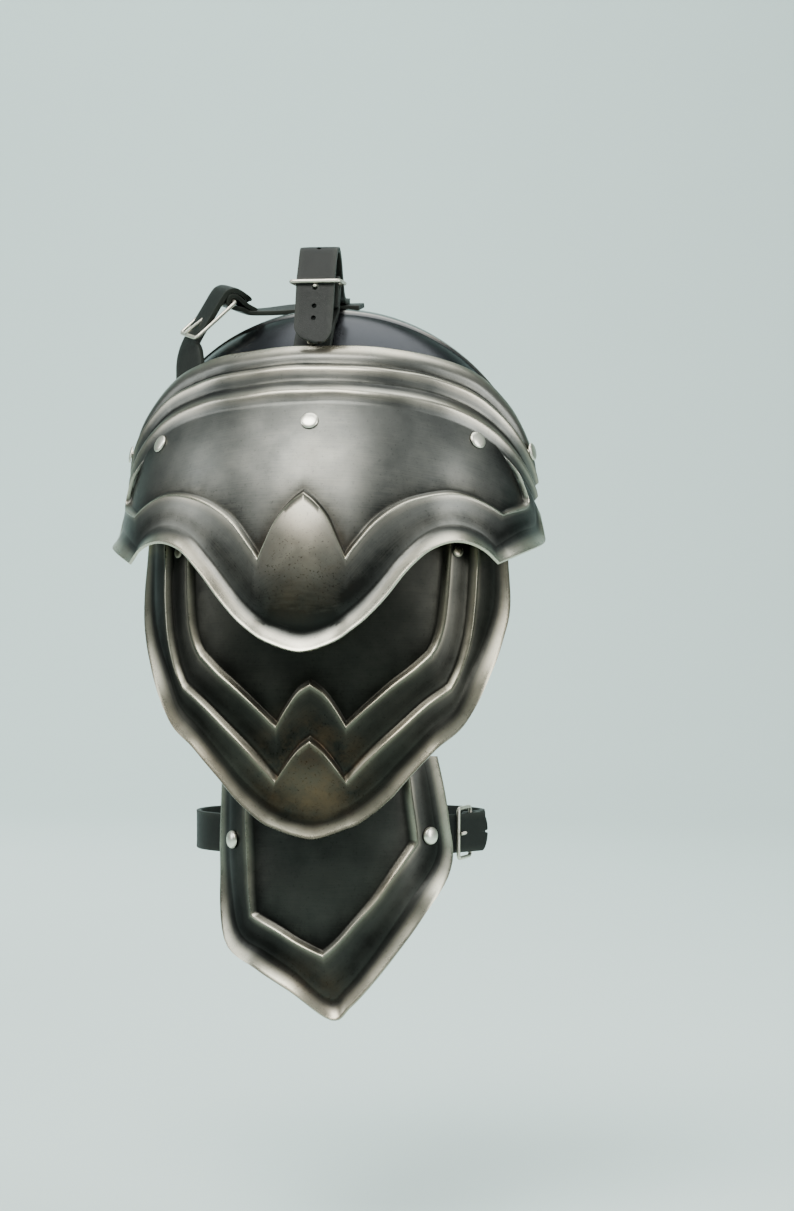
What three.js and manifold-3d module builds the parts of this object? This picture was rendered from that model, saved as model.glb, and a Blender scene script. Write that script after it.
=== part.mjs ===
// A steel pauldron for a right shoulder: four plates, inner leathers, straps, buckles and rivets.
// Millimetres. +X is the wearer's front, -Y points outwards from the shoulder, +Z is up.
// The origin is on the shoulder, under the middle of the top plate.
import * as THREE from 'three';
import { mergeVertices } from 'three/addons/utils/BufferGeometryUtils.js';
import Module from 'manifold-3d';

const wasm = await Module();
wasm.setup();

const pauldron = new THREE.Group();

// Sheet, leather and wire
const steelThickness = 1.4;
const strapWidth = 20;
const strapThickness = 2.6;
const leatherWidth = 18;
const leatherThickness = 2.5;
const wireThickness = 2.4;
const touchGap = 0.3;

// Raised work on the plates
const borderStep = 2.4;
const stepHalfWidth = 1.9;
const fluteHeight = 2.4;
const lipWidth = 9;
const mainLipFlare = 5.5;
const lameLipFlare = 4;
const bossHeight = 2.6;

// A shell is a centre line that bends down over the shoulder, with half an ellipse across it.
// slope is the centre line's angle below level at its top, in degrees; radius is how it bends.
const mainShell = {
  x: -1,
  y: -28,
  z: 8,
  slope: 45,
  radius: 198,
  length: 173,
  halfWidthTop: 106.5,
  halfWidthLow: 108,
  depthTop: 78,
  depthLow: 84,
};
const upperShell = {
  x: 2,
  y: -66,
  z: -72,
  slope: 78,
  radius: 420,
  length: 172,
  halfWidthTop: 90.5,
  halfWidthLow: 87,
  depthTop: 60,
  depthLow: 60,
};
const lowerShell = {
  x: 7,
  y: -58.5,
  z: -203,
  slope: 86,
  radius: 1200,
  length: 132,
  halfWidthTop: 57,
  halfWidthLow: 55,
  depthTop: 39,
  depthLow: 39,
};

// Each table row is a station on a plate's lines, from the upper side round to the middle.
// turn is the angle round the shell in degrees, along is a share of the shell's length,
// and flare is the share of the lip's flare there.
const mainStations = [
  { lineTurn: 60, lineAlong: 0.262, edgeTurn: 88, edgeAlong: 0.325, flare: 0 },
  { lineTurn: 70, lineAlong: 0.335, edgeTurn: 88, edgeAlong: 0.41, flare: 0.3 },
  { lineTurn: 75, lineAlong: 0.415, edgeTurn: 87, edgeAlong: 0.54, flare: 0.8 },
  { lineTurn: 61, lineAlong: 0.522, edgeTurn: 56, edgeAlong: 0.722, flare: 1 },
  { lineTurn: 54, lineAlong: 0.503, edgeTurn: 51, edgeAlong: 0.685, flare: 1 },
  { lineTurn: 47, lineAlong: 0.495, edgeTurn: 45.5, edgeAlong: 0.668, flare: 1 },
  { lineTurn: 40, lineAlong: 0.502, edgeTurn: 39.5, edgeAlong: 0.675, flare: 1 },
  { lineTurn: 33, lineAlong: 0.527, edgeTurn: 33, edgeAlong: 0.71, flare: 1 },
  { lineTurn: 26, lineAlong: 0.565, edgeTurn: 27, edgeAlong: 0.775, flare: 1 },
  { lineTurn: 19, lineAlong: 0.625, edgeTurn: 21.5, edgeAlong: 0.85, flare: 1 },
  { lineTurn: 14, lineAlong: 0.695, edgeTurn: 16.5, edgeAlong: 0.91, flare: 1 },
  { lineTurn: 11.6, lineAlong: 0.735, edgeTurn: 12.5, edgeAlong: 0.945, flare: 1 },
  { lineTurn: 9.6, lineAlong: 0.685, edgeTurn: 9.5, edgeAlong: 0.967, flare: 1 },
  { lineTurn: 6.8, lineAlong: 0.622, edgeTurn: 6.2, edgeAlong: 0.983, flare: 1 },
  { lineTurn: 3.2, lineAlong: 0.572, edgeTurn: 3, edgeAlong: 0.995, flare: 1 },
  { lineTurn: 0, lineAlong: 0.543, edgeTurn: 0, edgeAlong: 1, flare: 1 },
];
const mainSideStations = 3;

// The main plate's top edge and the lower end of its flutes, across the plate.
const mainTop = [
  { turn: 0, edge: 0.017, fluteEnd: 0.245 },
  { turn: 20, edge: 0.006, fluteEnd: 0.241 },
  { turn: 35, edge: -0.015, fluteEnd: 0.234 },
  { turn: 48, edge: -0.022, fluteEnd: 0.238 },
  { turn: 60, edge: 0.01, fluteEnd: 0.262 },
  { turn: 75, edge: 0.07, fluteEnd: 0.3 },
  { turn: 88, edge: 0.115, fluteEnd: 0.325 },
];

// The flutes: across is a share of the way from the top edge to their end.
const fluteRows = [
  { across: 0, height: 0.1 },
  { across: 0.1, height: 0.4 },
  { across: 0.21, height: 0.3 },
  { across: 0.32, height: -0.5 },
  { across: 0.39, height: 0.4 },
  { across: 0.46, height: 1 },
  { across: 0.54, height: 0.4 },
  { across: 0.64, height: -0.35 },
  { across: 0.76, height: 0.45 },
  { across: 0.85, height: 0.9 },
  { across: 1, height: 0 },
];

const upperStations = [
  { lineTurn: 46, lineAlong: 0, bandTurn: 57.5, bandAlong: 0, edgeTurn: 76, edgeAlong: 0.03, flare: 0.3 },
  { lineTurn: 46, lineAlong: 0.15, bandTurn: 57.5, bandAlong: 0.15, edgeTurn: 77, edgeAlong: 0.17, flare: 0.6 },
  { lineTurn: 45.5, lineAlong: 0.28, bandTurn: 57, bandAlong: 0.3, edgeTurn: 77, edgeAlong: 0.32, flare: 1 },
  { lineTurn: 44.5, lineAlong: 0.37, bandTurn: 55.5, bandAlong: 0.41, edgeTurn: 71.5, edgeAlong: 0.43, flare: 1 },
  { lineTurn: 42.5, lineAlong: 0.43, bandTurn: 52, bandAlong: 0.5, edgeTurn: 63, edgeAlong: 0.55, flare: 1 },
  { lineTurn: 40, lineAlong: 0.466, bandTurn: 47.5, bandAlong: 0.565, edgeTurn: 52, edgeAlong: 0.682, flare: 1 },
  { lineTurn: 33, lineAlong: 0.515, bandTurn: 38, bandAlong: 0.617, edgeTurn: 41, edgeAlong: 0.748, flare: 1 },
  { lineTurn: 26, lineAlong: 0.56, bandTurn: 28, bandAlong: 0.688, edgeTurn: 31.5, edgeAlong: 0.825, flare: 1 },
  { lineTurn: 18.5, lineAlong: 0.617, bandTurn: 19, bandAlong: 0.76, edgeTurn: 24, edgeAlong: 0.895, flare: 1 },
  { lineTurn: 11.5, lineAlong: 0.675, bandTurn: 11.3, bandAlong: 0.832, edgeTurn: 15.5, edgeAlong: 0.953, flare: 1 },
  { lineTurn: 8.4, lineAlong: 0.628, bandTurn: 8.2, bandAlong: 0.79, edgeTurn: 10.5, edgeAlong: 0.972, flare: 1 },
  { lineTurn: 4.2, lineAlong: 0.577, bandTurn: 3.9, bandAlong: 0.742, edgeTurn: 5, edgeAlong: 0.99, flare: 1 },
  { lineTurn: 0, lineAlong: 0.55, bandTurn: 0, bandAlong: 0.713, edgeTurn: 0, edgeAlong: 1, flare: 1 },
];
const upperSideStations = 6;

// The lower lame isn't even, so its stations run from the upper back edge round to the upper front.
const lowerStations = [
  { lineTurn: -45, lineAlong: 0, edgeTurn: -76, edgeAlong: 0, flare: 0.3 },
  { lineTurn: -45, lineAlong: 0.22, edgeTurn: -77, edgeAlong: 0.26, flare: 0.6 },
  { lineTurn: -44.5, lineAlong: 0.45, edgeTurn: -77, edgeAlong: 0.5, flare: 0.8 },
  { lineTurn: -42, lineAlong: 0.615, edgeTurn: -63, edgeAlong: 0.73, flare: 1 },
  { lineTurn: -27, lineAlong: 0.663, edgeTurn: -37, edgeAlong: 0.82, flare: 1 },
  { lineTurn: -14, lineAlong: 0.713, edgeTurn: -17, edgeAlong: 0.895, flare: 1 },
  { lineTurn: -1, lineAlong: 0.757, edgeTurn: 3.8, edgeAlong: 1, flare: 1 },
  { lineTurn: 7, lineAlong: 0.705, edgeTurn: 12.5, edgeAlong: 0.957, flare: 1 },
  { lineTurn: 16, lineAlong: 0.63, edgeTurn: 24, edgeAlong: 0.865, flare: 1 },
  { lineTurn: 26, lineAlong: 0.545, edgeTurn: 39, edgeAlong: 0.735, flare: 1 },
  { lineTurn: 36, lineAlong: 0.447, edgeTurn: 55, edgeAlong: 0.6, flare: 1 },
  { lineTurn: 48.5, lineAlong: 0.335, edgeTurn: 79, edgeAlong: 0.415, flare: 1 },
  { lineTurn: 46, lineAlong: 0.225, edgeTurn: 75, edgeAlong: 0.26, flare: 0.8 },
  { lineTurn: 43, lineAlong: 0.11, edgeTurn: 70, edgeAlong: 0.13, flare: 0.6 },
  { lineTurn: 40, lineAlong: 0, edgeTurn: 64, edgeAlong: 0, flare: 0.3 },
];
const lowerSideStations = 4;

// The top plate. Its neck edge is an arch; neckBack is how far its ends lie behind its middle,
// and neckInset how much narrower it is than the main plate.
const neckInset = 2.5;
const topPlate = {
  neckY: 8,
  neckZ: 28,
  neckHalfWidth: mainShell.halfWidthTop - neckInset,
  neckDrop: 100,
  neckBack: 25,
  neckTurn: 78,
  underTurn: 84,
  underLength: 20,
  slope: 12,
  spread: 0.25,
  sideFall: 0.3,
};
const topPlateDrop = steelThickness + strapThickness + 2 * touchGap + 0.4 * fluteHeight;
const topRimHeight = 0.9;
const topColumns = 18;
const topRows = [
  { down: 0, height: 1 },
  { down: 0.1, height: 1 },
  { down: 0.15, height: 0 },
  { down: 0.35, height: 0 },
  { down: 0.57, height: 0 },
  { down: 0.8, height: 0 },
  { down: 1, height: 0 },
];

// A flat strip inside a bent plate touches it at its edges, so its middle stands off.
const innerSeat = 1.9;

// The inner leathers, with the places of their rivets on each plate, as shares of its length.
const leatherEnd = 11;
const leatherStrips = [
  {
    name: 'leather_back',
    side: 'back',
    mainTurn: -51,
    mainAlong: 0.272,
    upperTurn: -52,
    upperAlong: 0.151,
    upperRaised: borderStep,
    lowerTurn: -32,
    lowerAlong: 0.095,
  },
  {
    name: 'leather_middle',
    side: 'middle',
    mainTurn: 0,
    mainAlong: 0.312,
    upperTurn: 0,
    upperAlong: 0.081,
    upperRaised: 0,
    lowerTurn: 0,
    lowerAlong: 0.095,
  },
  {
    name: 'leather_front',
    side: 'front',
    mainTurn: 50,
    mainAlong: 0.272,
    upperTurn: 50.5,
    upperAlong: 0.151,
    upperRaised: borderStep,
    lowerTurn: 28,
    lowerAlong: 0.095,
  },
];
const sideRivet = { turn: 77, along: 0.145, raised: 2.4 };

// Buckles
const frameCorner = 2.4;
const frameHalfWidth = strapWidth / 2 + touchGap + wireThickness / 2 + 1.4;
const wireSides = 6;
const prongThickness = 2;
const barOver = wireThickness / 2 + touchGap + prongThickness / 2;
const barLift = strapThickness / 2 + touchGap + wireThickness / 2;
const slotReach = wireThickness / 2 + 2 * touchGap + prongThickness + 0.6;

// The fold of a strap round a pin bar, from the outer layer's end to the inner layer
const foldSlack = 0.2;
const foldReach = wireThickness / 2 + touchGap + foldSlack + strapThickness / 2;
const pinDrop = strapThickness + touchGap + foldReach;
const layerOut = strapThickness / 2 + touchGap / 2 + foldSlack / 4;
const foldRows = [
  { away: 14, out: layerOut, faceAway: 0, faceOut: 1 },
  { away: 7, out: layerOut + foldSlack, faceAway: 0, faceOut: 1 },
  { away: 0.8, out: foldReach, faceAway: 0, faceOut: 1 },
  { away: -foldReach * 0.75, out: foldReach * 0.7, faceAway: -1, faceOut: 1 },
  { away: -foldReach, out: 0, faceAway: -1, faceOut: 0 },
  { away: -foldReach * 0.75, out: -foldReach * 0.7, faceAway: -1, faceOut: -1 },
  { away: 0.8, out: -foldReach, faceAway: 0, faceOut: -1 },
  { away: 7, out: -layerOut - foldSlack, faceAway: 0, faceOut: -1 },
  { away: 14, out: -layerOut, faceAway: 0, faceOut: -1 },
];

// Rivets. The head lies outside, the inner head holds the innermost layer.
const rivetSides = 8;
const rivetSlack = 0.4;
const mainRivet = {
  headRadius: 4.6,
  headHeight: 1.5,
  shankRadius: 1.8,
  innerRadius: 3.4,
  innerHeight: 0.9,
  material: steel(0xd0cdc0, 0.35),
};
const armRivet = { ...mainRivet, headHeight: 2.6 };
const smallRivet = {
  ...mainRivet,
  headRadius: 3,
  headHeight: 0.9,
  shankRadius: 1.4,
  innerRadius: 2.6,
  material: steel(0x4a4a46, 0.4),
};

// The centre strap, in the plane across the shoulder, from its end on the neck strap over the
// fold and down in front. Its buckle has a pin bar behind it and a far bar in front of it.
const centreStrap = {
  x: -4,
  pinY: -7,
  pinZ: 40,
  barY: -27,
  barZ: 39.5,
};
const centreStrapRows = [
  { y: 27, z: 35, outY: -0.17, outZ: 1 },
  { y: 15, z: 33, outY: -0.17, outZ: 1 },
  { y: 8, z: 36.5, outY: 0.5, outZ: 1 },
  { y: 3, z: 44, outY: 1, outZ: 0.5 },
  { y: -2, z: 53, outY: 1, outZ: 0.6 },
  { y: -7, z: 57.5, outY: 0.4, outZ: 1 },
  { y: -13, z: 57, outY: -0.6, outZ: 1 },
  { y: -17.5, z: 51, outY: -1, outZ: 0.4 },
  { y: -24, z: 39, outY: -1, outZ: 0.4 },
  { y: -29.5, z: 22, outY: -1, outZ: 0.3 },
  { y: -35, z: 7, outY: -1, outZ: 0.3 },
];
const centreColumn = (centreStrap.x - mainShell.x) / topPlate.neckHalfWidth;
const centreHolderRows = [0.4, 0.52, 0.64, 0.76, 0.84];
const strapHoles = [0.1, 0.4, 0.6];
const strapHoleRadius = 1.2;

// The strap along the neck side, after its fold round the back buckle's pin bar
const neckStrapRows = [
  { x: -26, y: 23, z: 30.5 },
  { x: -8, y: 22, z: 30.8 },
  { x: 13, y: 22, z: 31 },
];

// The back buckle: where the back strap passes its far bar, and the way of the strap through it
const backBuckle = {
  x: -75.5,
  y: 7,
  z: 14,
  way: [0.5, 0.1, 0.86],
  across: [-0.6, 0.8, 0],
  foldWay: [0.84, 0.31, -0.44],
  lead: 5,
  length: 27.5,
  tip: 5.5,
  column: -0.54,
};
const backStrapRows = [
  { down: 0.85, lift: 0 },
  { down: 0.6, lift: 0 },
  { down: 0.42, lift: 1.2 },
];

// The arm loop lies level, behind the lower lame.
const armAlong = 0.322 * lowerShell.length;
const armRivets = [
  { side: 'back', turn: -60, along: 0.333, strap: 'arm_strap' },
  { side: 'front', turn: 60, along: 0.31, strap: 'arm_buckle_strap' },
];
const armBuckle = {
  x: 67,
  y: -15,
  way: [0.6, 0.8, 0],
  foldWay: [0.3, 0.95, 0],
  length: 18,
  tip: 5.5,
};
const armLoop = { x: 2.5, y: 2, halfWidth: 75.5, depth: 62 };
const armLoopRows = [
  { x: 0.98, y: 0.42 },
  { x: 0.78, y: 0.75 },
  { x: 0.4, y: 0.97 },
  { x: -0.05, y: 1.02 },
  { x: -0.5, y: 0.9 },
  { x: -0.82, y: 0.62 },
  { x: -0.98, y: 0.25 },
  { x: -0.95, y: -0.1 },
  { x: -0.82, y: -0.36 },
];

// The four corners of a strap's section, and how its round tip narrows
const cornerSigns = [[-1, -1], [1, -1], [1, 1], [-1, 1]];
const tipRows = [
  { reach: 0, width: 1 },
  { reach: 0.4, width: 0.93 },
  { reach: 0.75, width: 0.7 },
  { reach: 0.94, width: 0.38 },
  { reach: 1, width: 0.2 },
];

function radians(degrees) {
  return degrees * Math.PI / 180;
}

function mix(from, to, share) {
  return from + (to - from) * share;
}

// Reads one column of a table between its rows, by the value of another column.
function readTable(rows, by, column, value) {
  const last = rows.length - 1;
  for (let i = 0; i < last; i += 1) {
    if (value <= rows[i + 1][by] || i === last - 1) {
      const share = (value - rows[i][by]) / (rows[i + 1][by] - rows[i][by]);
      return mix(rows[i][column], rows[i + 1][column], Math.min(1, share));
    }
  }
  return rows[last][column];
}

// The centre line's place and slope, and the section's size, at a length along a shell.
function shellFrame(shell, along) {
  const start = radians(shell.slope);
  const slope = start + along / shell.radius;
  const share = along / shell.length;
  return {
    y: shell.y - shell.radius * (Math.sin(slope) - Math.sin(start)),
    z: shell.z + shell.radius * (Math.cos(slope) - Math.cos(start)),
    slope,
    halfWidth: mix(shell.halfWidthTop, shell.halfWidthLow, share),
    depth: mix(shell.depthTop, shell.depthLow, share),
  };
}

// A point of a shell, raised above it along its normal.
function shellPoint(shell, spot, raised = 0) {
  const frame = shellFrame(shell, spot.along);
  const turn = radians(spot.turn);
  const inward = frame.depth * (1 - Math.cos(turn));
  const normal = shellNormal(shell, spot);
  const point = new THREE.Vector3(
    shell.x + frame.halfWidth * Math.sin(turn),
    frame.y + inward * Math.sin(frame.slope),
    frame.z - inward * Math.cos(frame.slope),
  );
  return point.addScaledVector(normal, raised);
}

function shellNormal(shell, spot) {
  const frame = shellFrame(shell, spot.along);
  const turn = radians(spot.turn);
  const side = frame.depth * Math.sin(turn);
  const out = frame.halfWidth * Math.cos(turn);
  const normal = new THREE.Vector3(side, -out * Math.sin(frame.slope), out * Math.cos(frame.slope));
  return normal.normalize();
}

function mixSpot(from, to, share) {
  return {
    turn: mix(from.turn, to.turn, share),
    along: mix(from.along, to.along, share),
    height: mix(from.height, to.height, share),
  };
}

function mirrorSpot(spot) {
  return { turn: -spot.turn, along: spot.along, height: spot.height };
}

// Turns a closed triangle list into a geometry whose faces point outwards.
function closedGeometry(points, triangles) {
  let volume = 0;
  const cross = new THREE.Vector3();
  for (const [a, b, c] of triangles) {
    volume += points[a].dot(cross.crossVectors(points[b], points[c]));
  }
  const outward = volume > 0;
  const position = points.flatMap((point) => [point.x, point.y, point.z]);
  const index = triangles.flatMap(([a, b, c]) => (outward ? [a, b, c] : [a, c, b]));
  const geometry = new THREE.BufferGeometry();
  geometry.setAttribute('position', new THREE.Float32BufferAttribute(position, 3));
  geometry.setIndex(index);
  geometry.computeVertexNormals();
  return geometry;
}

// A plate of even thickness over a shell. Each patch is a grid of spots, and patches that share
// a side share its spots. The rim closes every side that only one patch has.
function plateGeometry(placeSpot, patches, thickness) {
  const numbers = new Map();
  const spots = [];
  const quads = [];
  const spotNumber = (spot) => {
    const key = `${spot.turn.toFixed(3)} ${spot.along.toFixed(3)}`;
    if (!numbers.has(key)) {
      numbers.set(key, spots.length);
      spots.push(spot);
    }
    return numbers.get(key);
  };
  for (const patch of patches) {
    const grid = patch.map((row) => row.map(spotNumber));
    for (let i = 0; i < grid.length - 1; i += 1) {
      for (let j = 0; j < grid[i].length - 1; j += 1) {
        quads.push([grid[i][j], grid[i][j + 1], grid[i + 1][j + 1], grid[i + 1][j]]);
      }
    }
  }
  const count = spots.length;
  const outer = spots.map((spot) => placeSpot(spot, spot.height));
  const inner = spots.map((spot) => placeSpot(spot, spot.height - thickness));
  const edges = new Map();
  const triangles = [];
  for (const quad of quads) {
    const [a, b, c, d] = quad;
    triangles.push([a, b, c], [a, c, d]);
    triangles.push([a + count, c + count, b + count], [a + count, d + count, c + count]);
    for (let i = 0; i < 4; i += 1) {
      const from = quad[i];
      const to = quad[(i + 1) % 4];
      if (edges.has(`${to} ${from}`)) {
        edges.delete(`${to} ${from}`);
      } else {
        edges.set(`${from} ${to}`, [from, to]);
      }
    }
  }
  for (const [from, to] of edges.values()) {
    triangles.push([to, from, from + count], [to, from + count, to + count]);
  }
  return closedGeometry([...outer, ...inner], triangles);
}

// A grid of spots between four sides that share their corners.
function fillPatch(left, right, top, bottom) {
  const rows = left.length - 1;
  const columns = top.length - 1;
  const blend = (i, j, key) => {
    const down = i / rows;
    const across = j / columns;
    const sides = mix(left[i][key], right[i][key], across) + mix(top[j][key], bottom[j][key], down);
    const ends = mix(
      mix(top[0][key], top[columns][key], across),
      mix(bottom[0][key], bottom[columns][key], across),
      down,
    );
    return sides - ends;
  };
  return left.map((_, i) => top.map((__, j) => ({
    turn: blend(i, j, 'turn'),
    along: blend(i, j, 'along'),
    height: blend(i, j, 'height'),
  })));
}

// The spot a real distance from one spot towards another.
function spotTowards(shell, from, to, distance, height) {
  const reach = shellPoint(shell, from).distanceTo(shellPoint(shell, to));
  const spot = mixSpot(from, to, distance / reach);
  spot.height = height;
  return spot;
}

// One station's spots from the raised line out to the lip's edge, innermost first.
function stationRings(shell, station, lipFlare) {
  const length = shell.length;
  const line = { turn: station.lineTurn, along: station.lineAlong * length, height: 0 };
  const edge = { turn: station.edgeTurn, along: station.edgeAlong * length, height: 0 };
  const rings = [];
  let level = 0;
  let from = line;
  const nextLines = station.bandTurn === undefined
    ? [edge]
    : [{ turn: station.bandTurn, along: station.bandAlong * length, height: 0 }, edge];
  for (const to of nextLines) {
    rings.push(spotTowards(shell, from, to, -stepHalfWidth, level));
    level += borderStep;
    rings.push(spotTowards(shell, from, to, stepHalfWidth, level));
    from = to;
  }
  const lastLine = nextLines.length === 1 ? line : nextLines[0];
  const lipStart = spotTowards(shell, edge, lastLine, lipWidth, level);
  rings.push(mixSpot(rings[rings.length - 1], lipStart, 0.5));
  rings.push(lipStart);
  rings.push(mixSpot(lipStart, { ...edge, height: level + lipFlare * station.flare * 0.7 }, 0.5));
  rings.push({ ...edge, height: level + lipFlare * station.flare });
  return rings;
}

// All stations of an even plate, from its upper back side round to its upper front side.
function evenStations(shell, stations, lipFlare) {
  const front = stations.map((station) => stationRings(shell, station, lipFlare));
  const back = front.slice(0, -1).map((rings) => rings.map(mirrorSpot));
  return [...back, ...front.slice().reverse()];
}

// The panel inside the innermost ring, with sideCount stations down each side.
function corePatch(rings, sideCount, topSpot) {
  const inner = rings.map((ring) => ring[0]);
  const left = inner.slice(0, sideCount);
  const bottom = inner.slice(sideCount - 1, inner.length - sideCount + 1);
  const right = inner.slice(inner.length - sideCount).reverse();
  const top = bottom.map((spot, j) => {
    const leftTurn = bottom[0].turn;
    const rightTurn = bottom[bottom.length - 1].turn;
    const across = (spot.turn - leftTurn) / (rightTurn - leftTurn);
    if (j === 0 || j === bottom.length - 1) {
      return j === 0 ? left[0] : right[0];
    }
    return topSpot(mix(left[0].turn, right[0].turn, across));
  });
  return fillPatch(left, right, top, bottom);
}

// The border round the panel, laid out the same way round as the panel.
function bandPatch(rings) {
  return rings.map((ring) => ring.slice().reverse());
}

// A low dome over the middle of the border, under the peak of the raised line.
function raiseBoss(shell, patch, peakAlong, lowAlong, halfTurn) {
  for (const row of patch) {
    for (const spot of row) {
      const across = Math.abs(spot.turn) / halfTurn;
      const down = (spot.along / shell.length - peakAlong) / (lowAlong - peakAlong);
      if (across < 1 && down > 0 && down < 1 && spot.height > 0) {
        spot.height += bossHeight * Math.cos(across * Math.PI / 2) * Math.sin(down * Math.PI) ** 0.7;
      }
    }
  }
}

function mainPatches() {
  const length = mainShell.length;
  const rings = evenStations(mainShell, mainStations, mainLipFlare);
  const topSpot = (turn) => ({
    turn,
    along: readTable(mainTop, 'turn', 'fluteEnd', Math.abs(turn)) * length,
    height: 0,
  });
  const core = corePatch(rings, mainSideStations, topSpot);
  const firstRing = rings[0].slice().reverse();
  const lastRing = rings[rings.length - 1];
  const fluteEnd = [...firstRing.slice(0, -1), ...core[0], ...lastRing.slice(1)];
  const flutes = fluteRows.map((row) => fluteEnd.map((spot) => {
    const edge = readTable(mainTop, 'turn', 'edge', Math.abs(spot.turn)) * length;
    return {
      turn: spot.turn,
      along: mix(edge, spot.along, row.across),
      height: fluteHeight * row.height + spot.height * row.across ** 2,
    };
  }));
  raiseBoss(mainShell, rings, mainStations[mainStations.length - 1].lineAlong, 0.93, 13);
  return [core, bandPatch(rings), flutes];
}

function upperPatches() {
  const rings = evenStations(upperShell, upperStations, lameLipFlare);
  const core = corePatch(rings, upperSideStations, (turn) => ({ turn, along: 0, height: 0 }));
  raiseBoss(upperShell, rings, upperStations[upperStations.length - 1].bandAlong, 0.95, 12);
  return [core, bandPatch(rings)];
}

function lowerPatches() {
  const stations = lowerStations.map((station) => stationRings(lowerShell, station, lameLipFlare));
  const core = corePatch(stations, lowerSideStations, (turn) => ({ turn, along: 0, height: 0 }));
  return [core, bandPatch(stations)];
}

// The top plate's spots have turn as a share of its width, from -1 to 1, and along as a share
// of the way from its neck edge down to the end that is hidden under the main plate.
function topPoint(spot) {
  const neckTurn = radians(topPlate.neckTurn) * spot.turn;
  const neck = new THREE.Vector3(
    mainShell.x + topPlate.neckHalfWidth * Math.sin(neckTurn),
    topPlate.neckY + topPlate.neckBack * (1 - Math.cos(neckTurn)),
    topPlate.neckZ - topPlate.neckDrop * (1 - Math.cos(neckTurn)),
  );
  const underTurn = topPlate.underTurn * spot.turn;
  const rim = readTable(mainTop, 'turn', 'edge', Math.abs(underTurn)) * mainShell.length;
  const underSpot = { turn: underTurn, along: rim + topPlate.underLength };
  const under = shellPoint(mainShell, underSpot, -topPlateDrop);
  const beyond = shellPoint(mainShell, { ...underSpot, along: underSpot.along + 1 }, -topPlateDrop);
  const reach = neck.distanceTo(under);
  const slope = radians(topPlate.slope);
  const neckWay = new THREE.Vector3(
    Math.sin(neckTurn) * topPlate.spread,
    -Math.cos(slope) * Math.cos(neckTurn) - Math.sin(Math.abs(neckTurn)) * topPlate.sideFall,
    -Math.sin(slope),
  ).normalize().multiplyScalar(reach);
  const underWay = beyond.sub(under).normalize().multiplyScalar(reach);
  const t = spot.along;
  const point = neck.multiplyScalar(2 * t ** 3 - 3 * t ** 2 + 1);
  point.addScaledVector(neckWay, t ** 3 - 2 * t ** 2 + t);
  point.addScaledVector(under, -2 * t ** 3 + 3 * t ** 2);
  return point.addScaledVector(underWay, t ** 3 - t ** 2);
}

function topNormal(spot) {
  const step = 0.01;
  const across = topPoint({ ...spot, turn: spot.turn + step });
  across.sub(topPoint({ ...spot, turn: spot.turn - step }));
  const down = topPoint({ ...spot, along: spot.along + step });
  down.sub(topPoint({ ...spot, along: spot.along - step }));
  return down.cross(across).normalize();
}

function onTopPlate(spot, height) {
  return topPoint(spot).addScaledVector(topNormal(spot), height);
}

function topPatches() {
  const columns = topColumns;
  const patch = topRows.map((row) => {
    const spots = [];
    for (let j = 0; j <= columns; j += 1) {
      spots.push({ turn: -1 + 2 * j / columns, along: row.down, height: row.height * topRimHeight });
    }
    return spots;
  });
  return [patch];
}

// Joins sections of equal point counts into a closed solid, as a bar or as a ring.
function sectionsGeometry(sections, isRing) {
  const size = sections[0].length;
  const triangles = [];
  const count = isRing ? sections.length : sections.length - 1;
  for (let i = 0; i < count; i += 1) {
    const next = (i + 1) % sections.length;
    for (let j = 0; j < size; j += 1) {
      const k = (j + 1) % size;
      const [a, b, c, d] = [i * size + j, i * size + k, next * size + k, next * size + j];
      triangles.push([a, b, c], [a, c, d]);
    }
  }
  if (!isRing) {
    const last = (sections.length - 1) * size;
    for (let j = 1; j < size - 1; j += 1) {
      triangles.push([0, j + 1, j], [last, last + j, last + j + 1]);
    }
  }
  return closedGeometry(sections.flat(), triangles);
}

// A flat strap along a path. Each path row has the strap's middle and the way its outer face looks.
// A rounded tip narrows the last stretch.
function strapGeometry(path, width, thickness, steps, isTipRound) {
  const curve = new THREE.CatmullRomCurve3(path.map((row) => row.at), false, 'centripetal');
  const count = (path.length - 1) * steps;
  const shares = [];
  for (let i = 0; i <= count; i += 1) {
    shares.push({ share: i / count, width: 1 });
  }
  if (isTipRound) {
    const tip = width * 0.4 / curve.getLength();
    const before = shares.filter((row) => row.share < 1 - tip);
    const bends = tipRows.map((row) => ({ share: 1 - tip + tip * row.reach, width: row.width }));
    shares.splice(0, shares.length, ...before, ...bends);
  }
  const sections = shares.map((row) => {
    const at = curve.getPoint(row.share);
    const tangent = curve.getTangent(row.share);
    const place = Math.min(row.share * (path.length - 1), path.length - 1 - 1e-6);
    const from = path[Math.floor(place)];
    const to = path[Math.floor(place) + 1];
    const out = from.out.clone().lerp(to.out, place - Math.floor(place));
    out.addScaledVector(tangent, -out.dot(tangent)).normalize();
    const side = new THREE.Vector3().crossVectors(tangent, out);
    const halfWidth = width * row.width / 2;
    return cornerSigns.map(([across, up]) => at.clone()
      .addScaledVector(side, across * halfWidth)
      .addScaledVector(out, up * thickness / 2));
  });
  return sectionsGeometry(sections, false);
}

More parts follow.
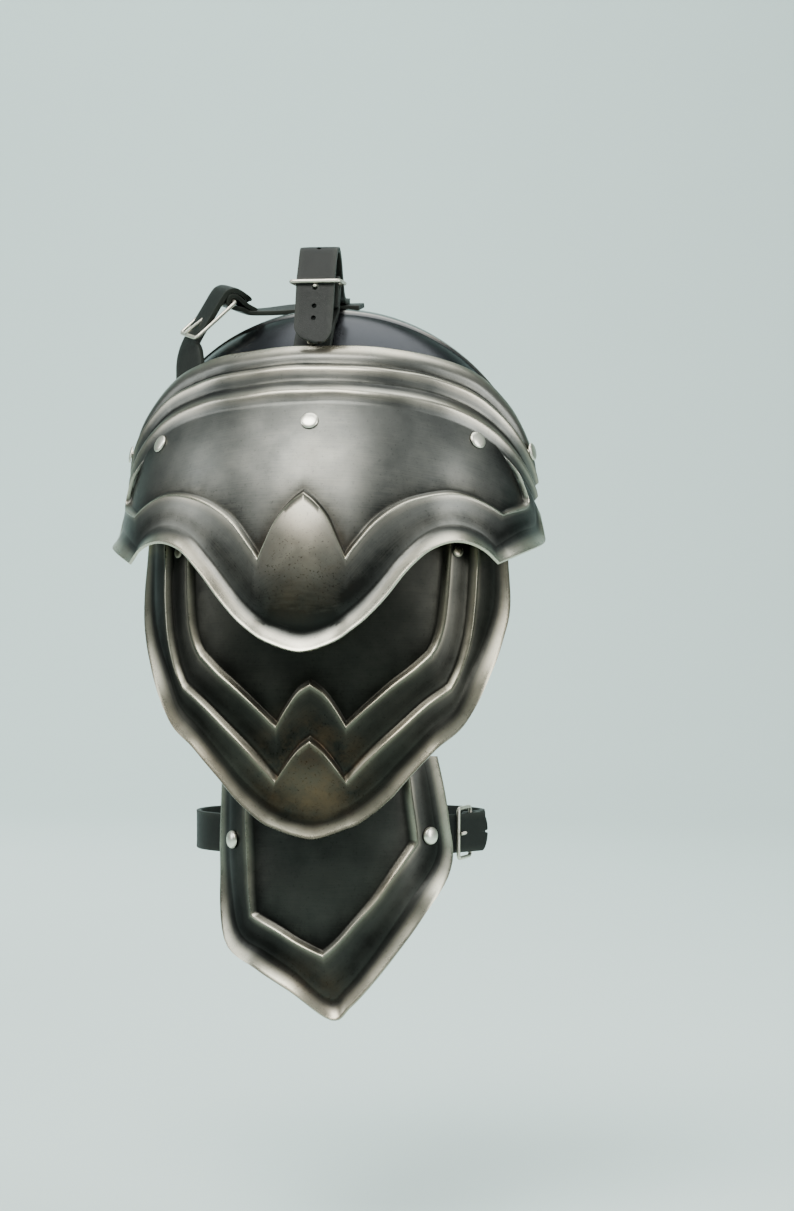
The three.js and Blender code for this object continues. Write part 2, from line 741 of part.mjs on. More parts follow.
// A rectangular wire ring with round corners, in the plane of its two ways.
function wireRing(centre, way, halfLength, acrossWay, halfWidth) {
  const normal = new THREE.Vector3().crossVectors(way, acrossWay).normalize();
  const sections = [];
  const corners = [[1, 1], [-1, 1], [-1, -1], [1, -1]];
  const bendSteps = 4;
  corners.forEach(([lengthSign, widthSign], corner) => {
    for (let i = 0; i <= bendSteps; i += 1) {
      const angle = Math.PI / 2 * (corner + i / bendSteps);
      const outward = way.clone().multiplyScalar(Math.cos(angle));
      outward.addScaledVector(acrossWay, Math.sin(angle));
      const middle = centre.clone();
      middle.addScaledVector(way, lengthSign * (halfLength - frameCorner));
      middle.addScaledVector(acrossWay, widthSign * (halfWidth - frameCorner));
      middle.addScaledVector(outward, frameCorner);
      sections.push(roundSection(middle, outward, normal, wireThickness / 2));
    }
  });
  return sectionsGeometry(sections, true);
}

function roundSection(middle, first, second, radius) {
  const points = [];
  for (let i = 0; i < wireSides; i += 1) {
    const angle = 2 * Math.PI * i / wireSides;
    const point = middle.clone();
    point.addScaledVector(first, radius * Math.cos(angle));
    points.push(point.addScaledVector(second, radius * Math.sin(angle)));
  }
  return points;
}

function toSolid(geometry) {
  const bare = geometry.clone();
  bare.deleteAttribute('normal');
  bare.deleteAttribute('uv');
  const merged = mergeVertices(bare, 1e-4);
  return new wasm.Manifold(new wasm.Mesh({
    numProp: 3,
    vertProperties: new Float32Array(merged.attributes.position.array),
    triVerts: new Uint32Array(merged.index.array),
  }));
}

function toGeometry(solid) {
  const mesh = solid.getMesh();
  const geometry = new THREE.BufferGeometry();
  geometry.setAttribute('position', new THREE.Float32BufferAttribute(mesh.vertProperties, 3));
  geometry.setIndex([...mesh.triVerts]);
  geometry.computeVertexNormals();
  return geometry;
}

function turnedTo(geometry, way, at) {
  const turn = new THREE.Quaternion().setFromUnitVectors(new THREE.Vector3(0, 1, 0), way);
  return geometry.applyQuaternion(turn).translate(at.x, at.y, at.z);
}

// The prong has an eye round the pin bar and lies against the far bar.
function prongGeometry(pin, tip, acrossWay) {
  const eyeRadius = wireThickness / 2 + touchGap + prongThickness / 2;
  const eye = new THREE.TorusGeometry(eyeRadius, prongThickness / 2, 6, 12);
  const face = new THREE.Quaternion().setFromUnitVectors(new THREE.Vector3(0, 0, 1), acrossWay);
  eye.applyQuaternion(face).translate(pin.x, pin.y, pin.z);
  const way = tip.clone().sub(pin).normalize();
  const start = pin.clone().addScaledVector(way, eyeRadius);
  const length = start.distanceTo(tip);
  const rod = new THREE.CylinderGeometry(prongThickness * 0.4, prongThickness / 2, length, 8);
  turnedTo(rod, way, start.lerp(tip, 0.5));
  return toGeometry(toSolid(eye).add(toSolid(rod)));
}

// A rivet: a domed head outside, a shank through what it holds, and a flat head inside.
// Its origin is under the outer head, and it points along +Y.
function rivetGeometry(kind, stack) {
  const end = -stack - 2 * touchGap - rivetSlack;
  const profile = [
    [0, kind.headHeight],
    [kind.headRadius * 0.6, kind.headHeight * 0.78],
    [kind.headRadius, 0],
    [kind.shankRadius, 0],
    [kind.shankRadius, end],
    [kind.innerRadius, end],
    [kind.innerRadius, end - kind.innerHeight],
    [0, end - kind.innerHeight],
  ];
  const points = profile.map(([radius, height]) => new THREE.Vector2(radius, height));
  return new THREE.LatheGeometry(points.reverse(), rivetSides);
}

function addRivet(rivet) {
  const { name, at, way, stack, kind, through } = rivet;
  const geometry = rivetGeometry(kind, stack);
  const mesh = addMesh(name, geometry, kind.material);
  mesh.position.copy(at).addScaledVector(way, touchGap);
  mesh.quaternion.setFromUnitVectors(new THREE.Vector3(0, 1, 0), way);
  const reach = stack + 4 * touchGap;
  const hole = new THREE.CylinderGeometry(
    kind.shankRadius + touchGap,
    kind.shankRadius + touchGap,
    2 * reach,
    rivetSides,
  );
  turnedTo(hole, way, at.clone().addScaledVector(way, -stack / 2));
  for (const node of through) {
    cutNode(node, hole);
  }
}

function cutNode(name, cutter) {
  const mesh = pauldron.getObjectByName(name);
  mesh.geometry = toGeometry(toSolid(mesh.geometry).subtract(toSolid(cutter)));
}

function point(x, y, z) {
  return new THREE.Vector3(x, y, z);
}

// A strap's end folded round a pin bar: the outer layer's end, the bend, and the inner layer.
function foldPath(pin, away, out) {
  return foldRows.map((row) => {
    const at = pin.clone().addScaledVector(away, row.away).addScaledVector(out, row.out);
    const faceWay = away.clone().multiplyScalar(row.faceAway).addScaledVector(out, row.faceOut);
    return { at, out: faceWay };
  });
}

// Cuts the slot for the prong's eye into the fold, and the prong's hole into the strap.
function cutForProng(foldNode, strapNode, pin, tip, acrossWay) {
  const slot = new THREE.CylinderGeometry(slotReach, slotReach, prongThickness + 4 * touchGap, 12);
  turnedTo(slot, acrossWay, pin);
  cutNode(foldNode, slot);
  const holeRadius = prongThickness / 2 + 2 * touchGap;
  const hole = new THREE.CylinderGeometry(holeRadius, holeRadius, pin.distanceTo(tip), 8);
  turnedTo(hole, tip.clone().sub(pin).normalize(), pin.clone().lerp(tip, 0.5));
  cutNode(strapNode, hole);
  if (foldNode !== strapNode) {
    cutNode(foldNode, hole);
  }
}

function steel(colour, roughness) {
  return new THREE.MeshStandardMaterial({ color: colour, metalness: 1, roughness });
}

function leather(colour) {
  return new THREE.MeshStandardMaterial({ color: colour, metalness: 0, roughness: 0.6 });
}

function addMesh(name, geometry, material) {
  const mesh = new THREE.Mesh(geometry, material);
  mesh.name = name;
  pauldron.add(mesh);
  return mesh;
}

// The four plates
function addPlates() {
  const onShell = (shell) => (spot, height) => shellPoint(shell, spot, height);
  const plates = [
    ['main_plate', onShell(mainShell), mainPatches(), 0x6b6f6b],
    ['upper_lame', onShell(upperShell), upperPatches(), 0x565a56],
    ['lower_lame', onShell(lowerShell), lowerPatches(), 0x565a56],
    ['top_plate', onTopPlate, topPatches(), 0x3c403f],
  ];
  for (const [name, place, patches, colour] of plates) {
    addMesh(name, plateGeometry(place, patches, steelThickness), steel(colour, 0.4));
  }
}

// Where a strip lies inside a plate
function insideSpot(shell, turn, along, thickness) {
  const spot = { turn, along };
  const drop = steelThickness + innerSeat + thickness / 2;
  return { at: shellPoint(shell, spot, -drop), out: shellNormal(shell, spot) };
}

// The inner leathers hang from the main plate and carry both lames.
function addLeathers() {
  for (const strip of leatherStrips) {
    const seats = [
      [mainShell, strip.mainTurn, strip.mainAlong],
      [upperShell, strip.upperTurn, strip.upperAlong],
      [lowerShell, strip.lowerTurn, strip.lowerAlong],
    ];
    const path = seats.flatMap(([shell, turn, share]) => [-leatherEnd, 0, leatherEnd].map(
      (reach) => insideSpot(shell, turn, share * shell.length + reach, leatherThickness),
    ));
    const strap = strapGeometry(path, leatherWidth, leatherThickness, 1, false);
    addMesh(strip.name, strap, leather(0x3a2c20));
  }
}

function addLeatherRivets() {
  const stack = steelThickness + innerSeat + leatherThickness;
  for (const strip of leatherStrips) {
    const places = [
      ['main_plate', mainShell, strip.mainTurn, strip.mainAlong, 0, mainRivet],
      ['upper_lame', upperShell, strip.upperTurn, strip.upperAlong, strip.upperRaised, smallRivet],
      ['lower_lame', lowerShell, strip.lowerTurn, strip.lowerAlong, 0, smallRivet],
    ];
    for (const [plate, shell, turn, share, raised, kind] of places) {
      const spot = { turn, along: share * shell.length };
      addRivet({
        name: `${plate}_rivet_${strip.side}`,
        at: shellPoint(shell, spot, raised),
        way: shellNormal(shell, spot),
        stack: stack + raised,
        kind,
        through: [plate, strip.name],
      });
    }
  }
}

// The rivets at the ends of the top plate, through the main plate
function addSideRivets() {
  for (const [side, sign] of [['back', -1], ['front', 1]]) {
    const spot = { turn: sign * sideRivet.turn, along: sideRivet.along * mainShell.length };
    addRivet({
      name: `side_rivet_${side}`,
      at: shellPoint(mainShell, spot, sideRivet.raised),
      way: shellNormal(mainShell, spot),
      stack: sideRivet.raised + topPlateDrop + steelThickness,
      kind: mainRivet,
      through: ['main_plate', 'top_plate'],
    });
  }
}

// The strap that stands up in the middle, its buckle, and the strap that holds the buckle
function addCentreStrap() {
  const x = centreStrap.x;
  const acrossWay = point(1, 0, 0);
  const path = centreStrapRows.map((row) => ({
    at: point(x, row.y, row.z),
    out: point(0, row.outY, row.outZ),
  }));
  const strap = strapGeometry(path, strapWidth, strapThickness, 2, true);
  addMesh('centre_strap', strap, leather(0x2a2d2a));

  const pin = point(x, centreStrap.pinY, centreStrap.pinZ);
  const bar = point(x, centreStrap.barY, centreStrap.barZ);
  const away = point(0, -0.25, -1).normalize();
  const out = point(0, -1, 0.25).normalize();
  const lift = touchGap + strapThickness / 2;
  const holder = foldPath(pin, away, out);
  for (const down of centreHolderRows) {
    const spot = { turn: centreColumn, along: down };
    holder.push(turnedRow({ at: onTopPlate(spot, lift), out: topNormal(spot) }));
  }
  const holderStrap = strapGeometry(holder, strapWidth, strapThickness, 2, false);
  addMesh('centre_buckle_strap', holderStrap, leather(0x2a2d2a));

  const tip = bar.clone().add(point(0, -1, -barOver));
  addBuckle('centre', pin, bar, acrossWay, tip);
  cutForProng('centre_buckle_strap', 'centre_strap', pin, tip, acrossWay);
}

// The back strap comes up from under the main plate and through the back buckle, and the strap
// along the neck side is folded round that buckle's pin bar.
function addBackStraps() {
  const lift = touchGap + strapThickness / 2;
  const way = point(...backBuckle.way).normalize();
  const acrossWay = point(...backBuckle.across);
  acrossWay.addScaledVector(way, -acrossWay.dot(way)).normalize();
  const out = new THREE.Vector3().crossVectors(way, acrossWay);
  const start = point(backBuckle.x, backBuckle.y, backBuckle.z);
  const path = backStrapRows.map((row) => {
    const spot = { turn: backBuckle.column, along: row.down };
    return { at: onTopPlate(spot, lift + row.lift), out: topNormal(spot) };
  });
  const reaches = [-backBuckle.lead, 0, backBuckle.length, backBuckle.length + backBuckle.tip];
  for (const reach of reaches) {
    path.push({ at: start.clone().addScaledVector(way, reach), out });
  }
  addMesh('back_strap', strapGeometry(path, strapWidth, strapThickness, 3, true), leather(0x1c1e1c));

  const bar = start.clone().addScaledVector(out, barLift);
  const pin = start.clone().addScaledVector(way, backBuckle.length);
  pin.addScaledVector(out, -pinDrop);
  const tip = bar.clone().addScaledVector(out, barOver);
  addBuckle('back', pin, bar, acrossWay, tip);

  const away = point(...backBuckle.foldWay);
  away.addScaledVector(acrossWay, -away.dot(acrossWay)).normalize();
  const rows = foldPath(pin, away, new THREE.Vector3().crossVectors(away, acrossWay));
  for (const row of neckStrapRows) {
    rows.push(turnedRow({ at: point(row.x, row.y, row.z), out: point(0, -0.17, 1) }));
  }
  addMesh('neck_strap', strapGeometry(rows, strapWidth, strapThickness, 2, false), leather(0x1c1e1c));
  cutForProng('neck_strap', 'back_strap', pin, tip, acrossWay);
}

// A buckle: the wire frame from its pin bar to its far bar, and the prong between them
function addBuckle(side, pin, bar, acrossWay, tip) {
  const way = bar.clone().sub(pin).normalize();
  const middle = pin.clone().lerp(bar, 0.5);
  const frame = wireRing(middle, way, pin.distanceTo(bar) / 2, acrossWay, frameHalfWidth);
  addMesh(`${side}_buckle`, frame, steel(0xd8d4c4, 0.25));
  addMesh(`${side}_prong`, prongGeometry(pin, tip, acrossWay), steel(0xd8d4c4, 0.25));
}

// The loop round the arm, from the lower lame's back edge to its front edge
function addArmStraps() {
  const acrossWay = point(0, 0, 1);
  const armLevel = shellFrame(lowerShell, armAlong).z;
  const levelled = (row, out) => ({ at: point(row.x, row.y, armLevel), out });
  const inside = (turn) => insideSpot(lowerShell, turn, armAlong, strapThickness);
  const level = (place) => {
    place.at.z = armLevel;
    place.out.z = 0;
    return place;
  };
  const way = point(...armBuckle.way).normalize();
  const out = point(way.y, -way.x, 0);
  const start = point(armBuckle.x, armBuckle.y, armLevel);
  const short = [48, 62, 76].map((turn) => level(inside(turn)));
  for (const reach of [0, armBuckle.length, armBuckle.length + armBuckle.tip]) {
    short.push({ at: start.clone().addScaledVector(way, reach), out });
  }
  const shortStrap = strapGeometry(short, strapWidth, strapThickness, 3, true);
  addMesh('arm_buckle_strap', shortStrap, leather(0x2a2d2a));

  const bar = start.clone().addScaledVector(out, barLift);
  const pin = start.clone().addScaledVector(way, armBuckle.length);
  pin.addScaledVector(out, -pinDrop);
  const tip = bar.clone().addScaledVector(out, barOver);
  addBuckle('arm', pin, bar, acrossWay, tip);

  const away = point(...armBuckle.foldWay).normalize();
  const loop = foldPath(pin, away, point(away.y, -away.x, 0));
  const middle = point(armLoop.x, armLoop.y, 0);
  for (const row of armLoopRows) {
    const outward = point(row.x * armLoop.halfWidth, row.y * armLoop.depth, 0);
    loop.push(turnedRow(levelled(outward.clone().add(middle), outward.clone().normalize())));
  }
  for (const turn of [-76, -62, -48]) {
    loop.push(turnedRow(level(inside(turn))));
  }
  addMesh('arm_strap', strapGeometry(loop, strapWidth, strapThickness, 2, false), leather(0x2a2d2a));
  cutForProng('arm_strap', 'arm_buckle_strap', pin, tip, acrossWay);

  for (const rivet of armRivets) {
    const spot = { turn: rivet.turn, along: rivet.along * lowerShell.length };
    addRivet({
      name: `arm_rivet_${rivet.side}`,
      at: shellPoint(lowerShell, spot, borderStep),
      way: shellNormal(lowerShell, spot),
      stack: borderStep + steelThickness + innerSeat + strapThickness,
      kind: armRivet,
      through: ['lower_lame', rivet.strap],
    });
  }
}

// The small rivets that hold the straps to the top plate, to each other and in their folds
function addStrapRivets() {
  const onPlate = [
    ['centre_holder_rivet', { turn: centreColumn, along: 0.62 }, 'centre_buckle_strap'],
    ['back_holder_rivet', { turn: backBuckle.column, along: 0.6 }, 'back_strap'],
  ];
  for (const [name, spot, strap] of onPlate) {
    addRivet({
      name,
      at: onTopPlate(spot, strapThickness + touchGap),
      way: topNormal(spot),
      stack: strapThickness + touchGap + steelThickness,
      kind: smallRivet,
      through: [strap, 'top_plate'],
    });
  }
  const [endRow, nextRow] = centreStrapRows;
  const seat = point(centreStrap.x, endRow.y, endRow.z);
  seat.lerp(point(centreStrap.x, nextRow.y, nextRow.z), 0.42);
  const way = point(0, endRow.outY, endRow.outZ).normalize();
  addRivet({
    name: 'centre_strap_rivet',
    at: seat.addScaledVector(way, strapThickness / 2),
    way,
    stack: 2 * strapThickness + 2 * touchGap,
    kind: smallRivet,
    through: ['centre_strap', 'neck_strap'],
  });
}

// Rows after a fold look the other way, so that the strap doesn't twist.
function turnedRow(row) {
  return { at: row.at, out: row.out.clone().negate() };
}

// The punched holes of the centre strap's hanging end
function punchStrapHoles() {
  const rows = centreStrapRows.slice(-3);
  const from = point(centreStrap.x, rows[0].y, rows[0].z);
  const to = point(centreStrap.x, rows[2].y, rows[2].z);
  const way = point(0, rows[1].outY, rows[1].outZ).normalize();
  for (const share of strapHoles) {
    const hole = new THREE.CylinderGeometry(strapHoleRadius, strapHoleRadius, 3 * strapThickness, 8);
    turnedTo(hole, way, from.clone().lerp(to, share));
    cutNode('centre_strap', hole);
  }
}

addPlates();
addLeathers();
addLeatherRivets();
addSideRivets();
addCentreStrap();
addBackStraps();
addArmStraps();
addStrapRivets();
punchStrapHoles();

export default pauldron;
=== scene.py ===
# Looks for a steel pauldron with leather straps, wire buckles and rivets.
# Lengths in the tables are millimetres; the finished meshes are in metres.
import math

import bmesh
import bpy
from mathutils import Matrix, Vector, kdtree, noise


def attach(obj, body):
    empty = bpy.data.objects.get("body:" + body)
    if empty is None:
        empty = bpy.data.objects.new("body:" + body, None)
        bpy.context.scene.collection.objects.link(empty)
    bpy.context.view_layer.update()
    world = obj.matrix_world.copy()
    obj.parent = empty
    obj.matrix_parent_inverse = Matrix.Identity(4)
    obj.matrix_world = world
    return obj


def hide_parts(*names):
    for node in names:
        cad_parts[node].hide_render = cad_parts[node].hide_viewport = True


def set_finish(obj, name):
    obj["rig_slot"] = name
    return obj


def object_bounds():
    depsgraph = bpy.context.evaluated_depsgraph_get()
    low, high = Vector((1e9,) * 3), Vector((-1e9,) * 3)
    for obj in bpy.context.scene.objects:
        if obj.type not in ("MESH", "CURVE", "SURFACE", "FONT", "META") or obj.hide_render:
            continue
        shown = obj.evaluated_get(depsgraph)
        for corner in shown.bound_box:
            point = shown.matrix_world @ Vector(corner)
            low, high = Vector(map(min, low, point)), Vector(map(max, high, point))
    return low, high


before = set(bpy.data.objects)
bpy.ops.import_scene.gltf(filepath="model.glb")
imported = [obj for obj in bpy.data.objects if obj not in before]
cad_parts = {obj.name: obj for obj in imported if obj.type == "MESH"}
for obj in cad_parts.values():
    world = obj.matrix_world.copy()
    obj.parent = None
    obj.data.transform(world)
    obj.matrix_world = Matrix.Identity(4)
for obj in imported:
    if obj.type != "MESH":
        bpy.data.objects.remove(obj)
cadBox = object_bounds()
metre = 0.001
noise.seed_set(4)  # the wandering lines come out the same each run

# The camera stands at the wearer's right side, a little towards the front
cameraSettings = {
    "lens": 85, "sensor": 36, "distance": 1.5, "turn": 8, "aim": (0.0343, 0.0048, -0.1278),
}


def makeCamera(settings):
    data = bpy.data.cameras.new("camera")
    data.lens = settings["lens"]
    data.sensor_width = settings["sensor"]
    camera = bpy.data.objects.new("camera", data)
    turn = math.radians(settings["turn"])
    back = Vector((math.sin(turn), -math.cos(turn), 0)) * settings["distance"]
    camera.location = Vector(settings["aim"]) + back
    camera.rotation_euler = (math.pi / 2, 0, turn)
    bpy.context.scene.collection.objects.link(camera)
    bpy.context.scene.camera = camera


makeCamera(cameraSettings)
print("camera is set")

# Sheet, leather and what parts them
steelThickness = 1.4
strapWidth = 20
strapThickness = 2.6
leatherThickness = 2.5
touchGap = 0.3
innerSeat = 1.9
borderStep = 2.4
stepHalfWidth = 1.9
lipWidth = 9
mergeReach = 0.01 * metre
roundAngle = math.radians(50)  # edges sharper than this are rounded


def rowsOf(columns, rows):
    return [dict(zip(columns, row)) for row in rows]


def mix(a, b, t):
    return a + (b - a) * t


def smooth(t):
    t = max(0.0, min(1.0, t))
    return t * t * (3 - 2 * t)


def peak(t, middle, width):
    return math.exp(-(((t - middle) / width) ** 2))


# Reads a column between its rows on a smooth line that keeps its corners
def rowAt(rows, key, place, corners=()):
    i = min(int(place), len(rows) - 2)
    t = place - i
    a, b = rows[i][key], rows[i + 1][key]
    before = 2 * a - b if i == 0 or i in corners else rows[i - 1][key]
    after = 2 * b - a if i + 2 == len(rows) or i + 1 in corners else rows[i + 2][key]
    leave = (b - before) / 2
    arrive = (after - a) / 2
    return (
        (2 * t**3 - 3 * t**2 + 1) * a
        + (t**3 - 2 * t**2 + t) * leave
        + (-2 * t**3 + 3 * t**2) * b
        + (t**3 - t**2) * arrive
    )


# Reads a column by the value of another column
def readTable(rows, by, key, value):
    i = 0
    while i < len(rows) - 2 and value > rows[i + 1][by]:
        i += 1
    share = (value - rows[i][by]) / (rows[i + 1][by] - rows[i][by])
    return rowAt(rows, key, i + min(share, 0.9999))


# A shell is a centre line that bends down over the shoulder, with half an ellipse across it
mainShell = {
    "x": -1, "y": -28, "z": 8, "slope": 45, "radius": 198, "length": 173,
    "widthTop": 106.5, "widthLow": 108, "depthTop": 78, "depthLow": 84,
}
upperShell = {
    "x": 2, "y": -66, "z": -72, "slope": 78, "radius": 420, "length": 172,
    "widthTop": 90.5, "widthLow": 87, "depthTop": 60, "depthLow": 60,
}
lowerShell = {
    "x": 7, "y": -58.5, "z": -203, "slope": 86, "radius": 1200, "length": 132,
    "widthTop": 57, "widthLow": 55, "depthTop": 39, "depthLow": 39,
}


def shellFrame(shell, along):
    start = math.radians(shell["slope"])
    slope = start + along / shell["radius"]
    share = along / shell["length"]
    y = shell["y"] - shell["radius"] * (math.sin(slope) - math.sin(start))
    z = shell["z"] + shell["radius"] * (math.cos(slope) - math.cos(start))
    width = mix(shell["widthTop"], shell["widthLow"], share)
    depth = mix(shell["depthTop"], shell["depthLow"], share)
    return y, z, slope, width, depth


def shellNormal(shell, turn, along):
    _, _, slope, width, depth = shellFrame(shell, along)
    a = math.radians(turn)
    out = width * math.cos(a)
    normal = Vector((depth * math.sin(a), -out * math.sin(slope), out * math.cos(slope)))
    return normal.normalized()


def shellPoint(shell, turn, along, raised=0.0):
    y, z, slope, width, depth = shellFrame(shell, along)
    a = math.radians(turn)
    inward = depth * (1 - math.cos(a))
    point = Vector((
        shell["x"] + width * math.sin(a),
        y + inward * math.sin(slope),
        z - inward * math.cos(slope),
    ))
    return point + shellNormal(shell, turn, along) * raised


# Plates. A spot is (turn, along, height, wear, dark, flow along, flow across); dark is patina in
# the hollows plus painted shade.
oneLine = ("lineTurn", "lineAlong", "edgeTurn", "edgeAlong", "flare")
twoLines = ("lineTurn", "lineAlong", "bandTurn", "bandAlong", "edgeTurn", "edgeAlong", "flare")

mainPlate = {
    "node": "main_plate",
    "shell": mainShell,
    "stations": rowsOf(oneLine, [
        (60, 0.262, 88, 0.325, 0),
        (70, 0.335, 88, 0.41, 0.3),
        (75, 0.415, 87, 0.54, 0.8),
        (61, 0.522, 56, 0.722, 1),
        (54, 0.503, 51, 0.685, 1),
        (47, 0.495, 45.5, 0.668, 1),
        (40, 0.502, 39.5, 0.675, 1),
        (33, 0.527, 33, 0.71, 1),
        (26, 0.565, 27, 0.775, 1),
        (19, 0.625, 21.5, 0.85, 1),
        (14, 0.695, 16.5, 0.91, 1),
        (11.6, 0.735, 12.5, 0.945, 1),
        (9.6, 0.685, 9.5, 0.967, 1),
        (6.8, 0.622, 6.2, 0.983, 1),
        (3.2, 0.572, 3, 0.995, 1),
        (0, 0.543, 0, 1, 1),
    ]),
    "mirrored": True,
    "sideStations": 3,
    "sideSteps": 20,
    "lineCorners": (3, 11, 15),
    "edgeCorners": (3,),
    "lipFlare": 5.5,
    "boss": {"peak": 0.543, "low": 0.93, "turn": 13, "height": 2.6, "wear": 0.5, "darkerBelow": 0.95},
    "brown": {"turn": 0, "along": 0.76, "reach": 26, "share": 0.6},
    "top": rowsOf(("turn", "edge", "fluteEnd"), [
        (0, 0.017, 0.245),
        (20, 0.006, 0.241),
        (35, -0.015, 0.234),
        (48, -0.022, 0.238),
        (60, 0.01, 0.262),
        (75, 0.07, 0.3),
        (88, 0.115, 0.325),
    ]),
    "flutes": rowsOf(("across", "height"), [
        (0, 0.1), (0.1, 0.4), (0.21, 0.3), (0.32, -0.5), (0.39, 0.4), (0.46, 1),
        (0.54, 0.4), (0.64, -0.35), (0.76, 0.45), (0.85, 0.9), (0.93, 0.4), (1, 0),
    ]),
    "fluteHeight": 2.4,
    "fluteRows": 46,
    "steps": 7,
}
upperLame = {
    "node": "upper_lame",
    "shell": upperShell,
    "stations": rowsOf(twoLines, [
        (46, 0, 57.5, 0, 76, 0.03, 0.3),
        (46, 0.15, 57.5, 0.15, 77, 0.17, 0.6),
        (45.5, 0.28, 57, 0.3, 77, 0.32, 1),
        (44.5, 0.37, 55.5, 0.41, 71.5, 0.43, 1),
        (42.5, 0.43, 52, 0.5, 63, 0.55, 1),
        (40, 0.466, 47.5, 0.565, 52, 0.682, 1),
        (33, 0.515, 38, 0.617, 41, 0.748, 1),
        (26, 0.56, 28, 0.688, 31.5, 0.825, 1),
        (18.5, 0.617, 19, 0.76, 24, 0.895, 1),
        (11.5, 0.675, 11.3, 0.832, 15.5, 0.953, 1),
        (8.4, 0.628, 8.2, 0.79, 10.5, 0.972, 1),
        (4.2, 0.577, 3.9, 0.742, 5, 0.99, 1),
        (0, 0.55, 0, 0.713, 0, 1, 1),
    ]),
    "mirrored": True,
    "sideStations": 6,
    "sideSteps": 9,
    "lineCorners": (5, 9, 12),
    "edgeCorners": (),
    "lipFlare": 4,
    "boss": {"peak": 0.713, "low": 0.95, "turn": 12, "height": 2.6, "wear": 0.2, "darkerBelow": 0.4},
    "brown": {"turn": 0, "along": 0.8, "reach": 30, "share": 0.9},
    "steps": 6,
}
lowerLame = {
    "node": "lower_lame",
    "shell": lowerShell,
    "stations": rowsOf(oneLine, [
        (-45, 0, -76, 0, 0.3),
        (-45, 0.22, -77, 0.26, 0.6),
        (-44.5, 0.45, -77, 0.5, 0.8),
        (-42, 0.615, -63, 0.73, 1),
        (-27, 0.663, -37, 0.82, 1),
        (-14, 0.713, -17, 0.895, 1),
        (-1, 0.757, 3.8, 1, 1),
        (7, 0.705, 12.5, 0.957, 1),
        (16, 0.63, 24, 0.865, 1),
        (26, 0.545, 39, 0.735, 1),
        (36, 0.447, 55, 0.6, 1),
        (48.5, 0.335, 79, 0.415, 1),
        (46, 0.225, 75, 0.26, 0.8),
        (43, 0.11, 70, 0.13, 0.6),
        (40, 0, 64, 0, 0.3),
    ]),
    "mirrored": False,
    "sideStations": 4,
    "sideSteps": 14,
    "lineCorners": (3, 6, 11),
    "edgeCorners": (),
    "lipFlare": 4,
    "boss": None,
    "brown": {"turn": -10, "along": 0.95, "reach": 25, "share": 0.35},
    "steps": 6,
}


def allStations(plate):
    rows = plate["stations"]
    lineCorners, edgeCorners = plate["lineCorners"], plate["edgeCorners"]
    if not plate["mirrored"]:
        return rows, set(lineCorners), set(edgeCorners)
    back = []
    for row in rows[:-1]:
        back.append({k: -v if k.endswith("Turn") else v for k, v in row.items()})
    last = 2 * (len(rows) - 1)
    both = lambda corners: set(corners) | {last - i for i in corners}
    return back + rows[::-1], both(lineCorners), both(edgeCorners)


def towards(shell, a, b, distance):
    reach = (shellPoint(shell, *a) - shellPoint(shell, *b)).length
    t = distance / reach
    return mix(a[0], b[0], t), mix(a[1], b[1], t)


# One column of the border, from the raised line's inner foot out to the lip
def borderColumn(plate, stations, lineCorners, edgeCorners, place, flow):
    shell = plate["shell"]

    def readSpot(name, corners):
        turn = rowAt(stations, name + "Turn", place, corners)
        return turn, rowAt(stations, name + "Along", place, corners) * shell["length"]

    lines = [readSpot("line", lineCorners)]
    if "bandTurn" in stations[0]:
        lines.append(readSpot("band", lineCorners))
    edge = readSpot("edge", edgeCorners)
    flare = plate["lipFlare"] * rowAt(stations, "flare", place, edgeCorners)
    fade = 1.0
    if "top" in plate:  # the step starts softly beside the flutes
        fade = smooth(min(place, len(stations) - 1 - place) / 0.9)
    stops = []
    for k, line in enumerate(lines):
        nextSpot = lines[k + 1] if k + 1 < len(lines) else edge
        stops.append((*towards(shell, line, nextSpot, -stepHalfWidth), "ramp"))
        stops.append((*towards(shell, line, nextSpot, stepHalfWidth), "flat"))
    stops.append((*towards(shell, edge, lines[-1], lipWidth), "lip"))
    stops.append((*edge, "end"))
    counts = {"ramp": 8, "flat": 18 if len(lines) == 1 else 12, "lip": 7}
    spots = []
    level = 0.0
    for (turnA, alongA, kind), (turnB, alongB, _) in zip(stops, stops[1:]):
        count = counts[kind]
        for k in range(count):
            t = k / count
            height, wear, dark = level, 0.0, 0.0
            # dark is patina plus painted shade: at the ramp's foot, in the middle of the flat band
            # and where the lip starts
            if kind == "ramp":  # worn on its crest, dark in its foot
                height += borderStep * smooth(t * 1.15) + 0.35 * peak(t, 0.86, 0.2)
                wear = 0.9 * peak(t, 0.82, 0.34)
                dark = peak(t, 0, 0.3)
            elif kind == "flat":
                wear = 0.35 * peak(t, 0, 0.12)
                dark = 0.75 * peak(t, 0.68, 0.3)
            else:
                height += flare * t**1.5
                wear = 0.9 * smooth((t - 0.25) / 0.6)
                dark = 0.7 * peak(t, 0, 0.25)
            if kind != "lip":
                wear, dark = wear * fade, dark * fade
            height *= fade
            turn, along = mix(turnA, turnB, t), mix(alongA, alongB, t)
            spots.append([turn, along, height, wear, dark, flow, 0])
        if kind == "ramp":
            level += borderStep
    spots.append([edge[0], edge[1], level * fade + flare, 1.0, 0.0, flow, 0])
    raiseBoss(plate, spots, borderStep * (len(lines) - 1))
    for k, spot in enumerate(spots):
        spot[6] = 1.4 * k
    return spots


